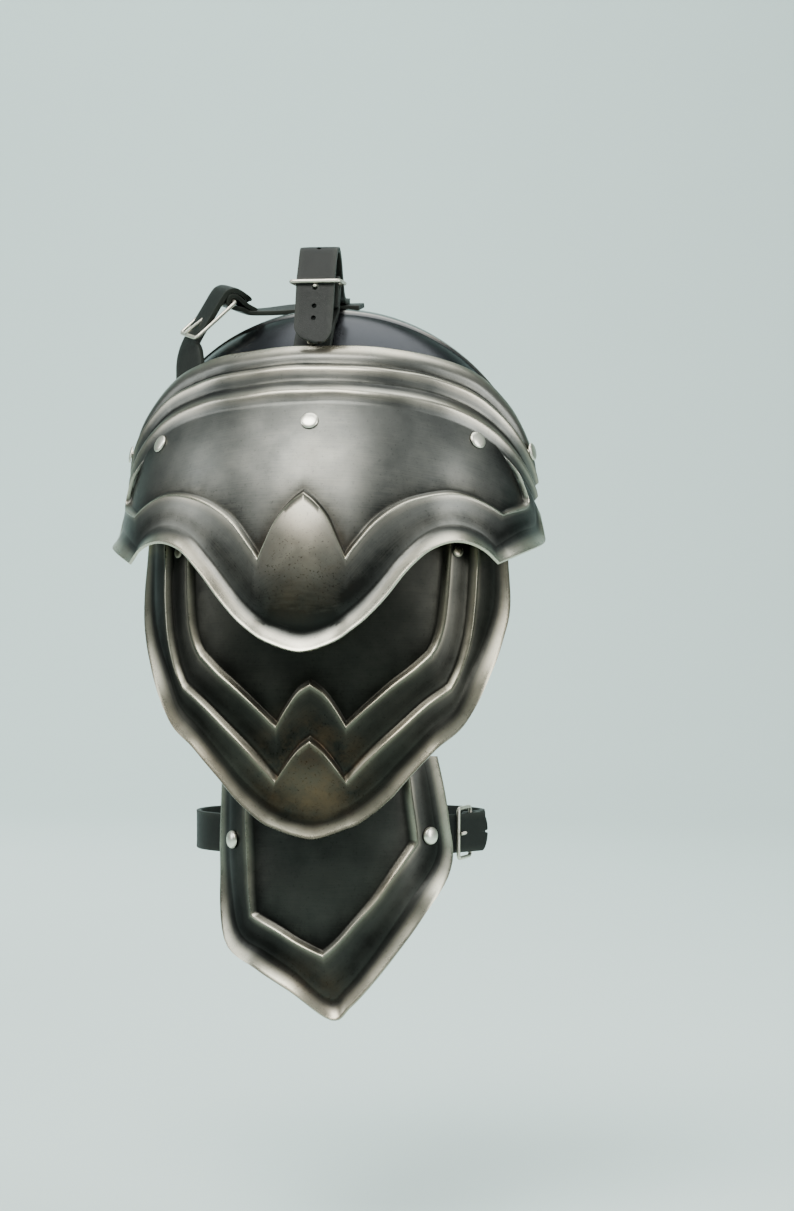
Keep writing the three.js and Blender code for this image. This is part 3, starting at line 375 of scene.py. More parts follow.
def raiseBoss(plate, spots, level):
    boss = plate["boss"]
    if not boss:
        return
    for spot in spots:
        across = abs(spot[0]) / boss["turn"]
        down = (spot[1] / plate["shell"]["length"] - boss["peak"]) / (boss["low"] - boss["peak"])
        if across < 1 and 0 < down < 1:
            rise = math.cos(across * math.pi / 2) * math.sin(down * math.pi) ** 0.7
            rise *= smooth((spot[2] - level) / borderStep)
            spot[2] += boss["height"] * rise
            spot[3] = max(spot[3], boss["wear"] * rise * smooth(1.6 - 1.6 * down))
            # the boss grows darker towards its lower end
            darkerBelow = smooth((down - 0.4) / 0.35) * math.sqrt(math.cos(across * math.pi / 2))
            spot[4] = max(spot[4], boss["darkerBelow"] * darkerBelow)


def blendSides(left, right, top, bottom):
    rows, columns = len(left) - 1, len(top) - 1
    grid = []
    for i in range(rows + 1):
        down = i / rows
        line = []
        for j in range(columns + 1):
            across = j / columns
            spot = []
            for k in range(3):
                sides = mix(left[i][k], right[i][k], across) + mix(top[j][k], bottom[j][k], down)
                ends = mix(
                    mix(top[0][k], top[columns][k], across),
                    mix(bottom[0][k], bottom[columns][k], across),
                    down,
                )
                spot.append(sides - ends)
            line.append(spot + [0.0, 0.0, 0.0, 0.0])
        grid.append(line)
    return grid


def plateGrids(plate):
    shell = plate["shell"]
    stations, lineCorners, edgeCorners = allStations(plate)
    sideCount = plate["sideStations"] - 1
    places = []
    for i in range(len(stations) - 1):
        onSide = i < sideCount or i >= len(stations) - 1 - sideCount
        steps = plate["sideSteps"] if onSide else plate["steps"]
        places += [i + k / steps for k in range(steps)]
    places.append(len(stations) - 1)
    columns = []
    for place in places:
        flow = place * plate["steps"] * 2
        columns.append(borderColumn(plate, stations, lineCorners, edgeCorners, place, flow))
    inner = [column[0] for column in columns]
    side = sideCount * plate["sideSteps"] + 1
    left, right = inner[:side], inner[-side:][::-1]
    bottom = inner[side - 1:len(inner) - side + 1]
    leftTurn, rightTurn = bottom[0][0], bottom[-1][0]
    top = [left[0]]
    for spot in bottom[1:-1]:
        turn = mix(left[0][0], right[0][0], (spot[0] - leftTurn) / (rightTurn - leftTurn))
        along = 0.0
        if "top" in plate:
            along = readTable(plate["top"], "turn", "fluteEnd", abs(turn)) * shell["length"]
        top.append([turn, along, 0.0])
    top.append(right[0])
    core = blendSides(left, right, top, bottom)
    shadeCore(shell, core, inner)
    grids = [core, [column[::-1] for column in columns]]
    if "top" in plate:
        lower = columns[0][::-1][:-1] + core[0] + columns[-1][1:]
        grids.append(fluteGrid(plate, lower))
    return grids


# The panel is dark along the foot of the raised line: patina plus painted shade
def shadeCore(shell, core, inner):
    tree = kdtree.KDTree(len(inner))
    for k, spot in enumerate(inner):
        tree.insert(shellPoint(shell, spot[0], spot[1]), k)
    tree.balance()
    for line in core:
        for spot in line:
            distance = tree.find(shellPoint(shell, spot[0], spot[1]))[2]
            spot[4] = math.exp(-((distance / 7.0) ** 1.2))
            spot[5], spot[6] = spot[0] * 1.6, spot[1]


def fluteGrid(plate, lower):
    shell = plate["shell"]
    rows = []
    for i in range(plate["fluteRows"] + 1):
        across = i / plate["fluteRows"]
        relief = readTable(plate["flutes"], "across", "height", across)
        line = []
        for spot in lower:
            edge = readTable(plate["top"], "turn", "edge", abs(spot[0])) * shell["length"]
            height = plate["fluteHeight"] * relief
            height += spot[2] * smooth((across - 0.25) / 0.75) ** 1.5
            rim = (1 - 0.55 * smooth((abs(spot[0]) - 12) / 40)) * math.exp(-((across / 0.15) ** 4))
            wear = max(0.6 * smooth((relief - 0.15) / 0.85), rim)
            # painted shade, with patina, in the flute valleys
            dark = smooth(-relief / 0.5) if across > 0.05 else 0.0
            along = mix(edge, spot[1], across)
            line.append([spot[0], along, height, wear, dark * 0.9, spot[0] * 1.7, along])
        rows.append(line)
    return rows


# Low, uneven dents from the hammer, and lines that wander a little
hammer = {"slow": 0.021, "quick": 0.055, "wander": 0.045, "wanderSize": 0.45}


def dentAt(point, size):
    slow = noise.noise(point * hammer["slow"])
    quick = noise.noise(point * hammer["quick"] + Vector((7.3, 1.1, 4.2)))
    return size * (0.5 * slow + 0.14 * quick)


def wanderAt(point):
    way = noise.noise_vector(point * hammer["wander"] + Vector((3.1, 8.4, 2.7)))
    return way * hammer["wanderSize"]


def brownAt(plate, place):
    spot = plate["brown"]
    shell = plate["shell"]
    distance = (place - shellPoint(shell, spot["turn"], spot["along"] * shell["length"])).length
    return spot["share"] * smooth(1.3 - distance / spot["reach"])


def addGrid(bm, grid, placeSpot, plate=None):
    rows, columns = len(grid) - 1, len(grid[0]) - 1
    wearLayer = bm.verts.layers.float["wear"]
    patinaShadeLayer = bm.verts.layers.float["dark"]
    flowLayer = bm.verts.layers.float_vector["flow"]
    brownLayer = bm.verts.layers.float["brown"]
    made = bmesh.ops.create_grid(bm, x_segments=columns, y_segments=rows, size=0.5)
    for vert in made["verts"]:
        spot = grid[round((vert.co.y + 0.5) * rows)][round((vert.co.x + 0.5) * columns)]
        vert[wearLayer] = spot[3]
        # dark: patina plus painted shade
        vert[patinaShadeLayer] = spot[4]
        vert[flowLayer] = Vector((spot[5], spot[6], 0)) * metre
        place = placeSpot(spot)
        if plate:
            vert[brownLayer] = brownAt(plate, place)
        vert.co = place * metre


def addLayers(bm):
    for key in ("wear", "dark", "brown"):
        bm.verts.layers.float.new(key)
    bm.verts.layers.float_vector.new("flow")


def newMesh():
    bm = bmesh.new()
    addLayers(bm)
    return bm


def newObject(name, bm):
    mesh = bpy.data.meshes.new(name)
    bm.to_mesh(mesh)
    bm.free()
    made = bpy.data.objects.new(name, mesh)
    bpy.context.scene.collection.objects.link(made)
    return made


def finishMesh(name, bm, slot, node):
    piece = newObject(name, bm)
    piece.data.shade_smooth()
    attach(piece, "root")
    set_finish(piece, slot)
    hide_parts(node)
    return piece


def addModifier(piece, kind, **values):
    modifier = piece.modifiers.new(kind.title(), kind)
    for key, value in values.items():
        setattr(modifier, key, value)
    return modifier


def roundEdges(piece, width, segments):
    addModifier(
        piece, "BEVEL", width=width * metre, segments=segments, limit_method="ANGLE",
        angle_limit=roundAngle, profile=0.5,
    )


def sheetMetal(piece):
    addModifier(
        piece, "SOLIDIFY", thickness=steelThickness * metre, offset=-1, use_even_offset=True,
    )
    roundEdges(piece, 0.4, 2)


# Turns faces outwards by the side that looks away from the body
def faceOutwards(bm, middle):
    bmesh.ops.remove_doubles(bm, verts=bm.verts, dist=mergeReach)
    bmesh.ops.recalc_face_normals(bm, faces=bm.faces)
    bm.normal_update()
    lean = sum(face.normal.dot(face.calc_center_median() - middle) for face in bm.faces)
    if lean < 0:
        bmesh.ops.reverse_faces(bm, faces=bm.faces)


def makePlate(plate):
    shell = plate["shell"]

    def placeSpot(spot):
        ground = shellPoint(shell, spot[0], spot[1])
        raised = shellNormal(shell, spot[0], spot[1]) * (spot[2] + dentAt(ground, 1))
        return ground + raised + wanderAt(ground)

    bm = newMesh()
    for grid in plateGrids(plate):
        addGrid(bm, grid, placeSpot, plate)
    faceOutwards(bm, Vector((shell["x"], 40, shell["z"] - shell["length"] / 2)) * metre)
    piece = finishMesh(plate["node"] + "_shaped", bm, "plate_steel", plate["node"])
    sheetMetal(piece)
    return piece


plates = {plate["node"]: makePlate(plate) for plate in (mainPlate, upperLame, lowerLame)}
print("plates are shaped")

# The top plate, an arched sheet from the neck edge down to under the main plate
topPlate = {
    "neckY": 8, "neckZ": 28, "neckHalfWidth": 104, "neckDrop": 100, "neckBack": 25,
    "neckTurn": 78, "underTurn": 84, "underLength": 20, "slope": 12, "spread": 0.25,
    "sideFall": 0.3, "rimHeight": 0.9, "rimWidth": 0.1, "columns": 110, "rows": 48,
}
topPlateDrop = steelThickness + strapThickness + 2 * touchGap + 0.4 * mainPlate["fluteHeight"]


def topPoint(turn, along):
    a = math.radians(topPlate["neckTurn"]) * turn
    neck = Vector((
        mainShell["x"] + topPlate["neckHalfWidth"] * math.sin(a),
        topPlate["neckY"] + topPlate["neckBack"] * (1 - math.cos(a)),
        topPlate["neckZ"] - topPlate["neckDrop"] * (1 - math.cos(a)),
    ))
    underTurn = topPlate["underTurn"] * turn
    rim = readTable(mainPlate["top"], "turn", "edge", abs(underTurn)) * mainShell["length"]
    start = rim + topPlate["underLength"]
    under = shellPoint(mainShell, underTurn, start, -topPlateDrop)
    beyond = shellPoint(mainShell, underTurn, start + 1, -topPlateDrop)
    reach = (neck - under).length
    slope = math.radians(topPlate["slope"])
    neckWay = Vector((
        math.sin(a) * topPlate["spread"],
        -math.cos(slope) * math.cos(a) - math.sin(abs(a)) * topPlate["sideFall"],
        -math.sin(slope),
    )).normalized() * reach
    underWay = (beyond - under).normalized() * reach
    t = along
    return (
        neck * (2 * t**3 - 3 * t**2 + 1)
        + neckWay * (t**3 - 2 * t**2 + t)
        + under * (-2 * t**3 + 3 * t**2)
        + underWay * (t**3 - t**2)
    )


def topNormal(turn, along):
    across = topPoint(turn + 0.01, along) - topPoint(turn - 0.01, along)
    down = topPoint(turn, along + 0.01) - topPoint(turn, along - 0.01)
    return down.cross(across).normalized()


def onTopPlate(turn, along, height):
    return topPoint(turn, along) + topNormal(turn, along) * height


def makeTopPlate(values):
    bm = newMesh()
    grid = []
    for i in range(values["rows"] + 1):
        along = (i / values["rows"]) ** 1.25
        rim = 1 - smooth((along - values["rimWidth"]) / 0.05)
        edge = peak(along, values["rimWidth"], 0.03)
        line = []
        for j in range(values["columns"] + 1):
            turn = -1 + 2 * j / values["columns"]
            height = values["rimHeight"] * rim + 0.25 * edge
            wear = max(0.7 * edge, 0.5 * peak(along, 0, 0.02))
            # painted shade, with patina, at the foot of the neck rim
            dark = 0.8 * peak(along, 0.17, 0.03)
            line.append([turn, along, height, wear, dark, turn * 110, along * 50])
        grid.append(line)

    def placeSpot(spot):
        ground = topPoint(spot[0], spot[1])
        return ground + topNormal(spot[0], spot[1]) * (spot[2] + dentAt(ground, 0.5))

    addGrid(bm, grid, placeSpot)
    faceOutwards(bm, Vector((0, 60, -60)) * metre)
    piece = finishMesh("top_plate_shaped", bm, "top_steel", "top_plate")
    sheetMetal(piece)
    return piece


plates["top_plate"] = makeTopPlate(topPlate)
print("top plate is shaped")


# Straps. A path is a list of (place, way the outer face looks).
def curvePoint(points, place):
    i = min(int(place), len(points) - 2)
    t = place - i
    b, c = points[i], points[i + 1]
    a = points[i - 1] if i > 0 else 2 * b - c
    d = points[i + 2] if i + 2 < len(points) else 2 * c - b
    gapA, gapB, gapC = (math.sqrt((p - q).length) or 1.0 for p, q in ((a, b), (b, c), (c, d)))
    leave = ((b - a) / gapA - (c - a) / (gapA + gapB) + (c - b) / gapB) * gapB
    arrive = ((c - b) / gapB - (d - b) / (gapB + gapC) + (d - c) / gapC) * gapB
    bend = 3 * (c - b) - 2 * leave - arrive
    return b + leave * t + bend * t**2 + (2 * (b - c) + leave + arrive) * t**3


# Evens out a part of a strap, from one section to another
def relax(sections, rounds, span):
    first, last = span
    for _ in range(rounds):
        kept = [(row[0].copy(), row[1].copy(), row[2].copy()) for row in sections]
        for k in range(first, min(last, len(sections) - 2)):
            at = kept[k][0].lerp((kept[k - 1][0] + kept[k + 1][0]) / 2, 0.7)
            side = (kept[k - 1][1] + kept[k][1] * 2 + kept[k + 1][1]).normalized()
            out = (kept[k - 1][2] + kept[k][2] * 2 + kept[k + 1][2]).normalized()
            sections[k] = (at, side, out, *sections[k][3:])
    return sections


# Sections along a strap: place, side, way out, length so far and share of the full width
def strapGrid(path, tipLength):
    points = [row[0] for row in path]
    last = len(points) - 1
    places = [n / strapSteps for n in range(last * strapSteps + 1)]
    lengths = [0.0]
    for a, b in zip(places, places[1:]):
        lengths.append(lengths[-1] + (curvePoint(points, b) - curvePoint(points, a)).length)
    total = lengths[-1]
    if tipLength:  # closer columns round the tip
        extra = [1 - tipLength / total * (1 - k / 10) ** 1.6 for k in range(11)]
        known = [length / total for length in lengths if length / total < extra[0] - 0.004]
        shares = known + extra
    else:
        shares = [length / total for length in lengths]
    grid = []
    for share in shares:
        want = share * total
        k = 0
        while k < len(lengths) - 2 and lengths[k + 1] < want:
            k += 1
        place = mix(places[k], places[k + 1], (want - lengths[k]) / (lengths[k + 1] - lengths[k]))
        place = min(place, last - 1e-6)
        at = curvePoint(points, place)
        ahead = curvePoint(points, min(last, place + 0.01))
        tangent = (ahead - curvePoint(points, max(0, place - 0.01))).normalized()
        i = int(place)
        out = path[i][1].lerp(path[i + 1][1], place - i)
        out = (out - tangent * out.dot(tangent)).normalized()
        side = tangent.cross(out)
        narrow = 1.0
        if tipLength and total - want < tipLength:
            reach = 1 - (total - want) / tipLength
            narrow = max(0.12, math.sqrt(max(0.0, 1 - reach**2.3)))
        grid.append((at, side, out, want, narrow))
    return grid


strapSteps = 8
strapColumns = 10
strapHide = {
    "width": strapWidth, "thickness": strapThickness, "slot": "strap_leather",
    "ending": "_leather", "softness": 1.0,
}
innerHide = {
    "width": 18, "thickness": leatherThickness, "slot": "inner_leather",
    "ending": "_strip", "softness": 0.3,
}


def makeStrap(
    node, path, hide=strapHide, tipLength=0, rounds=0, span=(2, 999), lean=0.0, notch=0.0,
):
    name = node + hide["ending"]
    softness = hide["softness"]
    sections = relax(strapGrid(path, tipLength), rounds, span)
    last = len(sections) - 1
    total = sections[-1][3]
    bm = newMesh()
    made = bmesh.ops.create_grid(bm, x_segments=last, y_segments=strapColumns, size=0.5)
    wearLayer = bm.verts.layers.float["wear"]
    flowLayer = bm.verts.layers.float_vector["flow"]
    for vert in made["verts"]:
        at, side, out, length, narrow = sections[round((vert.co.x + 0.5) * last)]
        share = round((vert.co.y + 0.5) * strapColumns) / strapColumns * 2 - 1
        share = math.copysign(abs(share) ** 0.8, share)
        wobble = 0.22 * noise.noise(Vector((length * 0.09, share, len(name))))
        reach = share * narrow + lean * (1 - narrow)
        place = at + side * (reach * (hide["width"] / 2 - 0.1) + wobble * 0.6)
        nearEnd = smooth(1 - (total - length) / (2 * notch)) if notch else 0.0
        place -= out.cross(side) * notch * nearEnd * math.exp(-((share / 0.34) ** 4))
        place += out * softness * (0.12 * wobble - 0.18 * share**6)
        vert[wearLayer] = smooth((abs(share) - 0.72) / 0.28)
        vert[flowLayer] = Vector((length, share * hide["width"] / 2, 0)) * metre
        vert.co = place * metre
    bmesh.ops.recalc_face_normals(bm, faces=bm.faces)
    piece = finishMesh(name, bm, hide["slot"], node)
    addModifier(piece, "SOLIDIFY", thickness=hide["thickness"] * metre, offset=0)
    roundEdges(piece, 0.5, 3)
    return piece


buckle = {"wire": 2.4, "prong": 2.0, "slack": 0.2}
foldReach = buckle["wire"] / 2 + touchGap + buckle["slack"] + strapThickness / 2
layerOut = strapThickness / 2 + touchGap / 2 + buckle["slack"] / 4
pinDrop = strapThickness + touchGap + foldReach


# A strap's end folded round a pin bar: the outer layer, the bend, and the inner layer
def foldPath(pin, away, out):
    loose = layerOut + buckle["slack"]
    rows = [
        (14, layerOut, 0, 1), (7, loose, 0, 1), (0.8, foldReach, 0, 1),
        (-foldReach * 0.75, foldReach * 0.7, -1, 1), (-foldReach, 0, -1, 0),
        (-foldReach * 0.75, -foldReach * 0.7, -1, -1), (0.8, -foldReach, 0, -1),
        (7, -loose, 0, -1), (14, -layerOut, 0, -1),
    ]
    return [(pin + away * a + out * b, away * c + out * d) for a, b, c, d in rows]


def insideSpot(shell, turn, along, thickness):
    drop = steelThickness + innerSeat + thickness / 2
    return shellPoint(shell, turn, along, -drop), shellNormal(shell, turn, along)


leatherEnd = 11
leatherStrips = rowsOf(
    (
        "side", "mainTurn", "mainAlong", "upperTurn", "upperAlong", "upperRaised",
        "lowerTurn", "lowerAlong",
    ),
    [
        ("back", -51, 0.272, -52, 0.151, borderStep, -32, 0.095),
        ("middle", 0, 0.312, 0, 0.081, 0, 0, 0.095),
        ("front", 50, 0.272, 50.5, 0.151, borderStep, 28, 0.095),
    ],
)


def makeInnerLeathers():
    made = []
    for strip in leatherStrips:
        path = []
        for part, shell in (("main", mainShell), ("upper", upperShell), ("lower", lowerShell)):
            for reach in (-leatherEnd, 0, leatherEnd):
                along = strip[part + "Along"] * shell["length"] + reach
                path.append(insideSpot(shell, strip[part + "Turn"], along, leatherThickness))
        made.append(makeStrap("leather_" + strip["side"], path, innerHide))
    return made


innerLeathers = makeInnerLeathers()

# The centre strap, over its buckle and down in front
centreStrap = {
    "x": -4, "pin": (-7, 40), "bar": (-27, 39.5), "lean": -0.45,
    "holes": (0.1, 0.4, 0.6), "holeRadius": 1.3, "prongHoleRadius": 1.6, "foldRow": 6,
    "rows": [
        (27, 35, -0.17, 1), (15, 33, -0.17, 1), (8, 36.5, 0.5, 1), (3, 44, 1, 0.5),
        (-2, 53, 1, 0.6), (-7, 57.5, 0.4, 1), (-13, 57, -0.6, 1), (-17.5, 51, -1, 0.4),
        (-24, 39, -1, 0.4), (-29.5, 22, -1, 0.3), (-35, 7, -1, 0.3),
    ],
    "holderRows": (0.4, 0.52, 0.64, 0.76, 0.84),
}
centreColumn = (centreStrap["x"] - mainShell["x"]) / topPlate["neckHalfWidth"]


# Cuts round holes through a finished strap
def punch(piece, holes):
    cutters = []
    for at, way, radius in holes:
        bm = bmesh.new()
        turn = Vector((0, 0, 1)).rotation_difference(way).to_matrix().to_4x4()
        bmesh.ops.create_cone(
            bm, segments=20, radius1=radius * metre, radius2=radius * metre,
            depth=9 * metre, cap_ends=True, matrix=Matrix.Translation(at * metre) @ turn,
        )
        cutter = newObject("cutter", bm)
        cutters.append(cutter)
        addModifier(piece, "BOOLEAN", operation="DIFFERENCE", solver="EXACT", object=cutter)
    bpy.context.view_layer.update()
    shown = piece.evaluated_get(bpy.context.evaluated_depsgraph_get())
    mesh = bpy.data.meshes.new_from_object(shown)
    piece.modifiers.clear()
    piece.data = mesh
    mesh.set_sharp_from_angle(angle=math.radians(45))
    for cutter in cutters:
        bpy.data.objects.remove(cutter)


def makeCentreStrap(values):
    x = values["x"]
    path = [(Vector((x, y, z)), Vector((0, outY, outZ))) for y, z, outY, outZ in values["rows"]]
    strap = makeStrap("centre_strap", path, tipLength=10, lean=values["lean"])
    start, end, way = path[-3][0], path[-1][0], path[-2][1].normalized()
    holes = [(start.lerp(end, share), way, values["holeRadius"]) for share in values["holes"]]
    fold, way = path[values["foldRow"]]
    holes.append((fold, way.normalized(), values["holeRadius"]))
    pin = Vector((x, *values["pin"]))
    bar = Vector((x, *values["bar"]))
    tip = bar + Vector((0, -1, -(buckle["wire"] / 2 + touchGap + buckle["prong"] / 2)))
    through = (pin + tip) / 2 + (tip - pin) * 0.27
    holes.append((through, (tip - pin).normalized(), values["prongHoleRadius"]))
    punch(strap, holes)

    away = Vector((0, -0.25, -1)).normalized()
    out = Vector((0, -1, 0.25)).normalized()
    path = foldPath(pin, away, out)
    for down in values["holderRows"]:
        at = onTopPlate(centreColumn, down, touchGap + strapThickness / 2)
        path.append((at, -topNormal(centreColumn, down)))
    return [strap, makeStrap("centre_buckle_strap", path)]


straps = makeCentreStrap(centreStrap)

backBuckle = {
    "at": (-75.5, 7, 14), "way": (0.5, 0.1, 0.86), "across": (-0.6, 0.8, 0),
    "foldWay": (0.84, 0.31, -0.44), "lead": 5, "length": 27.5, "column": -0.54,
    "tailRows": [(5, 5.5), (10.5, 4.9)],
    "strapRows": [(0.85, 0), (0.6, 0), (0.42, 1.2)],
    "neckRows": [(-26, 23, 30.5, 0.36), (-8, 22, 30.8, 0.17), (13, 22, 31, 0.17)],
}


def makeBackStraps(values):
    way = Vector(values["way"]).normalized()
    across = Vector(values["across"])
    across = (across - way * across.dot(way)).normalized()
    out = way.cross(across)
    start = Vector(values["at"])
    path = []
    for down, lift in values["strapRows"]:
        at = onTopPlate(values["column"], down, touchGap + strapThickness / 2 + lift)
        path.append((at, topNormal(values["column"], down)))
    for reach in (-values["lead"], 0, values["length"] * 0.6):
        path.append((start + way * reach, out))
    pin = start + way * values["length"] - out * pinDrop
    away = Vector(values["foldWay"])
    away = (away - across * away.dot(across)).normalized()
    over = away.cross(across)
    for k in range(5):  # the free end bends over the pin bar and lies down on the fold
        angle = out.angle(over) * k / 4
        turned = Matrix.Rotation(angle, 3, out.cross(over)) @ out
        path.append((pin + turned * pinDrop, turned))
    for reach, height in values["tailRows"]:
        path.append((pin + away * reach + over * height, over))
    strap = makeStrap("back_strap", path, tipLength=8, rounds=30, span=(2, 40))
    path = foldPath(pin, away, over)
    for x, y, z, tilt in values["neckRows"]:
        path.append((Vector((x, y, z)), Vector((0, tilt, -1)).normalized()))
    return [strap, makeStrap("neck_strap", path, rounds=25, span=(60, 999))]


straps += makeBackStraps(backBuckle)

armLoop = {
    "along": 0.322, "x": 2.5, "y": 2, "halfWidth": 75.5, "depth": 62,
    "rows": [
        (0.98, 0.42), (0.78, 0.75), (0.4, 0.97), (-0.05, 1.02), (-0.5, 0.9),
        (-0.82, 0.62), (-0.98, 0.25), (-0.95, -0.1), (-0.82, -0.36),
    ],
    "buckleAt": (67, -15), "way": (0.6, 0.8, 0), "foldWay": (0.3, 0.95, 0),
    "length": 18, "tip": 5.5, "notch": 4.5,
}


def makeArmStraps(values):
    along = values["along"] * lowerShell["length"]
    level = shellFrame(lowerShell, along)[1]

    def inside(turn, sign):
        at, out = insideSpot(lowerShell, turn, along, strapThickness)
        at.z, out.z = level, 0
        return at, out * sign

    way = Vector(values["way"]).normalized()
    out = Vector((way.y, -way.x, 0))
    start = Vector((*values["buckleAt"], level))
    path = [inside(turn, 1) for turn in (48, 62, 76)]
    for reach in (0, values["length"], values["length"] + values["tip"]):
        path.append((start + way * reach, out))
    short = makeStrap("arm_buckle_strap", path, tipLength=4, notch=values["notch"])
    pin = start + way * values["length"] - out * pinDrop
    away = Vector(values["foldWay"]).normalized()
    path = foldPath(pin, away, Vector((away.y, -away.x, 0)))
    for x, y in values["rows"]:
        outward = Vector((x * values["halfWidth"], y * values["depth"], 0))
        middle = Vector((values["x"], values["y"], level))
        path.append((middle + outward, -outward.normalized()))
    path += [inside(turn, -1) for turn in (-76, -62, -48)]
    return [short, makeStrap("arm_strap", path)]


straps += makeArmStraps(armLoop)
print("leathers and straps are made")

# Rivets: a low head outside, a shank, and a flat head inside
mainRivet = {
    "radius": 4.6, "height": 1.5, "shank": 1.8, "innerRadius": 3.4, "innerHeight": 0.9,
    "slot": "nickel",
}
armRivet = dict(mainRivet, height=2.6)
smallRivet = {
    "radius": 3, "height": 0.9, "shank": 1.4, "innerRadius": 2.6, "innerHeight": 0.9,
    "slot": "dark_rivet",
}
rivetSlack = 0.4
sideRivets = {"turn": 77, "along": 0.145, "raised": 2.4}
armRivets = rowsOf(("side", "turn", "along"), [("back", -60, 0.333), ("front", 60, 0.31)])
holderRivets = rowsOf(("side", "turn", "along"), [
    ("centre", centreColumn, 0.62), ("back", backBuckle["column"], 0.6),
])


def makeRivet(name, at, way, stack, kind):
    end = -stack - 2 * touchGap - rivetSlack
    radius, height = kind["radius"], kind["height"]
    profile = []
    for k in range(7):
        angle = math.pi / 2 * k / 6
        profile.append((radius * math.sin(angle), 0.3 + (height - 0.3) * math.cos(angle) ** 0.8))
    profile += [
        (radius, 0.1), (radius - 0.15, 0), (kind["shank"], 0), (kind["shank"], end),
        (kind["innerRadius"], end), (kind["innerRadius"], end - kind["innerHeight"] * 0.7),
        (kind["innerRadius"] - 0.3, end - kind["innerHeight"]), (0, end - kind["innerHeight"]),
    ]
    bm = newMesh()
    verts = [bm.verts.new(Vector((r, 0, h)) * metre) for r, h in profile]
    edges = [bm.edges.new(pair) for pair in zip(verts, verts[1:])]
    bmesh.ops.spin(
        bm, geom=verts + edges, cent=(0, 0, 0), axis=(0, 0, 1), angle=2 * math.pi, steps=28,
        use_merge=True,
    )
    bmesh.ops.remove_doubles(bm, verts=bm.verts, dist=mergeReach)
    bmesh.ops.recalc_face_normals(bm, faces=bm.faces)
    wearLayer = bm.verts.layers.float["wear"]
    for vert in bm.verts:
        vert[wearLayer] = smooth(vert.co.z / (height * metre))
    turn = Vector((0, 0, 1)).rotation_difference(way).to_matrix().to_4x4()
    place = Matrix.Translation((at + way * touchGap) * metre)
    bmesh.ops.transform(bm, matrix=place @ turn, verts=bm.verts)
    piece = finishMesh(name + "_turned", bm, kind["slot"], name)
    piece.data.set_sharp_from_angle(angle=roundAngle)
    return piece


def shellRivet(name, shell, turn, along, raised, stack, kind):
    along *= shell["length"]
    at, way = shellPoint(shell, turn, along, raised), shellNormal(shell, turn, along)
    return makeRivet(name, at, way, raised + stack, kind)


def makeRivets():
    made = []
    stack = steelThickness + innerSeat + leatherThickness
    for strip in leatherStrips:
        for part, plate, kind, raised in (
            ("main", mainPlate, mainRivet, 0),
            ("upper", upperLame, smallRivet, strip["upperRaised"]),
            ("lower", lowerLame, smallRivet, 0),
        ):
            name = plate["node"] + "_rivet_" + strip["side"]
            turn, along = strip[part + "Turn"], strip[part + "Along"]
            made.append(shellRivet(name, plate["shell"], turn, along, raised, stack, kind))
    along, raised = sideRivets["along"], sideRivets["raised"]
    stack = topPlateDrop + steelThickness
    for side, turn in (("back", -sideRivets["turn"]), ("front", sideRivets["turn"])):
        name = "side_rivet_" + side
        made.append(shellRivet(name, mainShell, turn, along, raised, stack, mainRivet))
    stack = steelThickness + innerSeat + strapThickness
    for row in armRivets:
        made.append(shellRivet(
            "arm_rivet_" + row["side"], lowerShell, row["turn"], row["along"], borderStep, stack,
            armRivet,
        ))
    lift = strapThickness + touchGap
    for row in holderRivets:
        turn, along = row["turn"], row["along"]
        at, way = onTopPlate(turn, along, lift), topNormal(turn, along)
        name = row["side"] + "_holder_rivet"
        made.append(makeRivet(name, at, way, lift + steelThickness, smallRivet))
    (yA, zA, outY, outZ), (yB, zB, _, _) = centreStrap["rows"][:2]
    seat = Vector((centreStrap["x"], yA, zA)).lerp(Vector((centreStrap["x"], yB, zB)), 0.42)
    way = Vector((0, outY, outZ)).normalized()
    made.append(makeRivet(
        "centre_strap_rivet", seat + way * strapThickness / 2, way,
        2 * strapThickness + 2 * touchGap, smallRivet,
    ))
    return made


rivets = makeRivets()


# The wire pieces keep their solids' shape, rounded
def roundedCopy(node, levels):
    bm = bmesh.new()
    bm.from_mesh(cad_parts[node].data)
    bmesh.ops.remove_doubles(bm, verts=bm.verts, dist=0.002 * metre)
    bmesh.ops.join_triangles(
        bm, faces=bm.faces, angle_face_threshold=math.radians(40),
        angle_shape_threshold=math.radians(60),
    )
    addLayers(bm)
    piece = finishMesh(node + "_wire", bm, "nickel", node)
    if levels:
        addModifier(piece, "SUBSURF", levels=levels, render_levels=levels)
    else:
        piece.data.set_sharp_from_angle(angle=roundAngle)
    return piece


wires = []
for side in ("centre", "back", "arm"):
    wires.append(roundedCopy(side + "_buckle", 2))
    wires.append(roundedCopy(side + "_prong", 0))
print("rivets and buckles are made")


# Finishes
def link(tree, source, target):
    tree.links.new(source, target)


# Adding, taking away and multiplying in a node tree
def mathOn(tree):
    def reckoner(operation):
        def reckon(a, b, clamp=False):
            made = tree.nodes.new("ShaderNodeMath")
            made.operation = operation
            made.use_clamp = clamp
            for socket, value in zip(made.inputs, (a, b)):
                if isinstance(value, (int, float)):
                    socket.default_value = value
                else:
                    link(tree, value, socket)
            return made.outputs[0]

        return reckon

    return reckoner("ADD"), reckoner("SUBTRACT"), reckoner("MULTIPLY")


def mixColour(tree, share, a, b):
    made = tree.nodes.new("ShaderNodeMix")
    made.data_type = "RGBA"
    link(tree, share, made.inputs[0])
    for socket, value in ((made.inputs[6], a), (made.inputs[7], b)):  # its two colours
        if isinstance(value, tuple):
            socket.default_value = (*value, 1)
        else:
            link(tree, value, socket)
    return made.outputs[2]


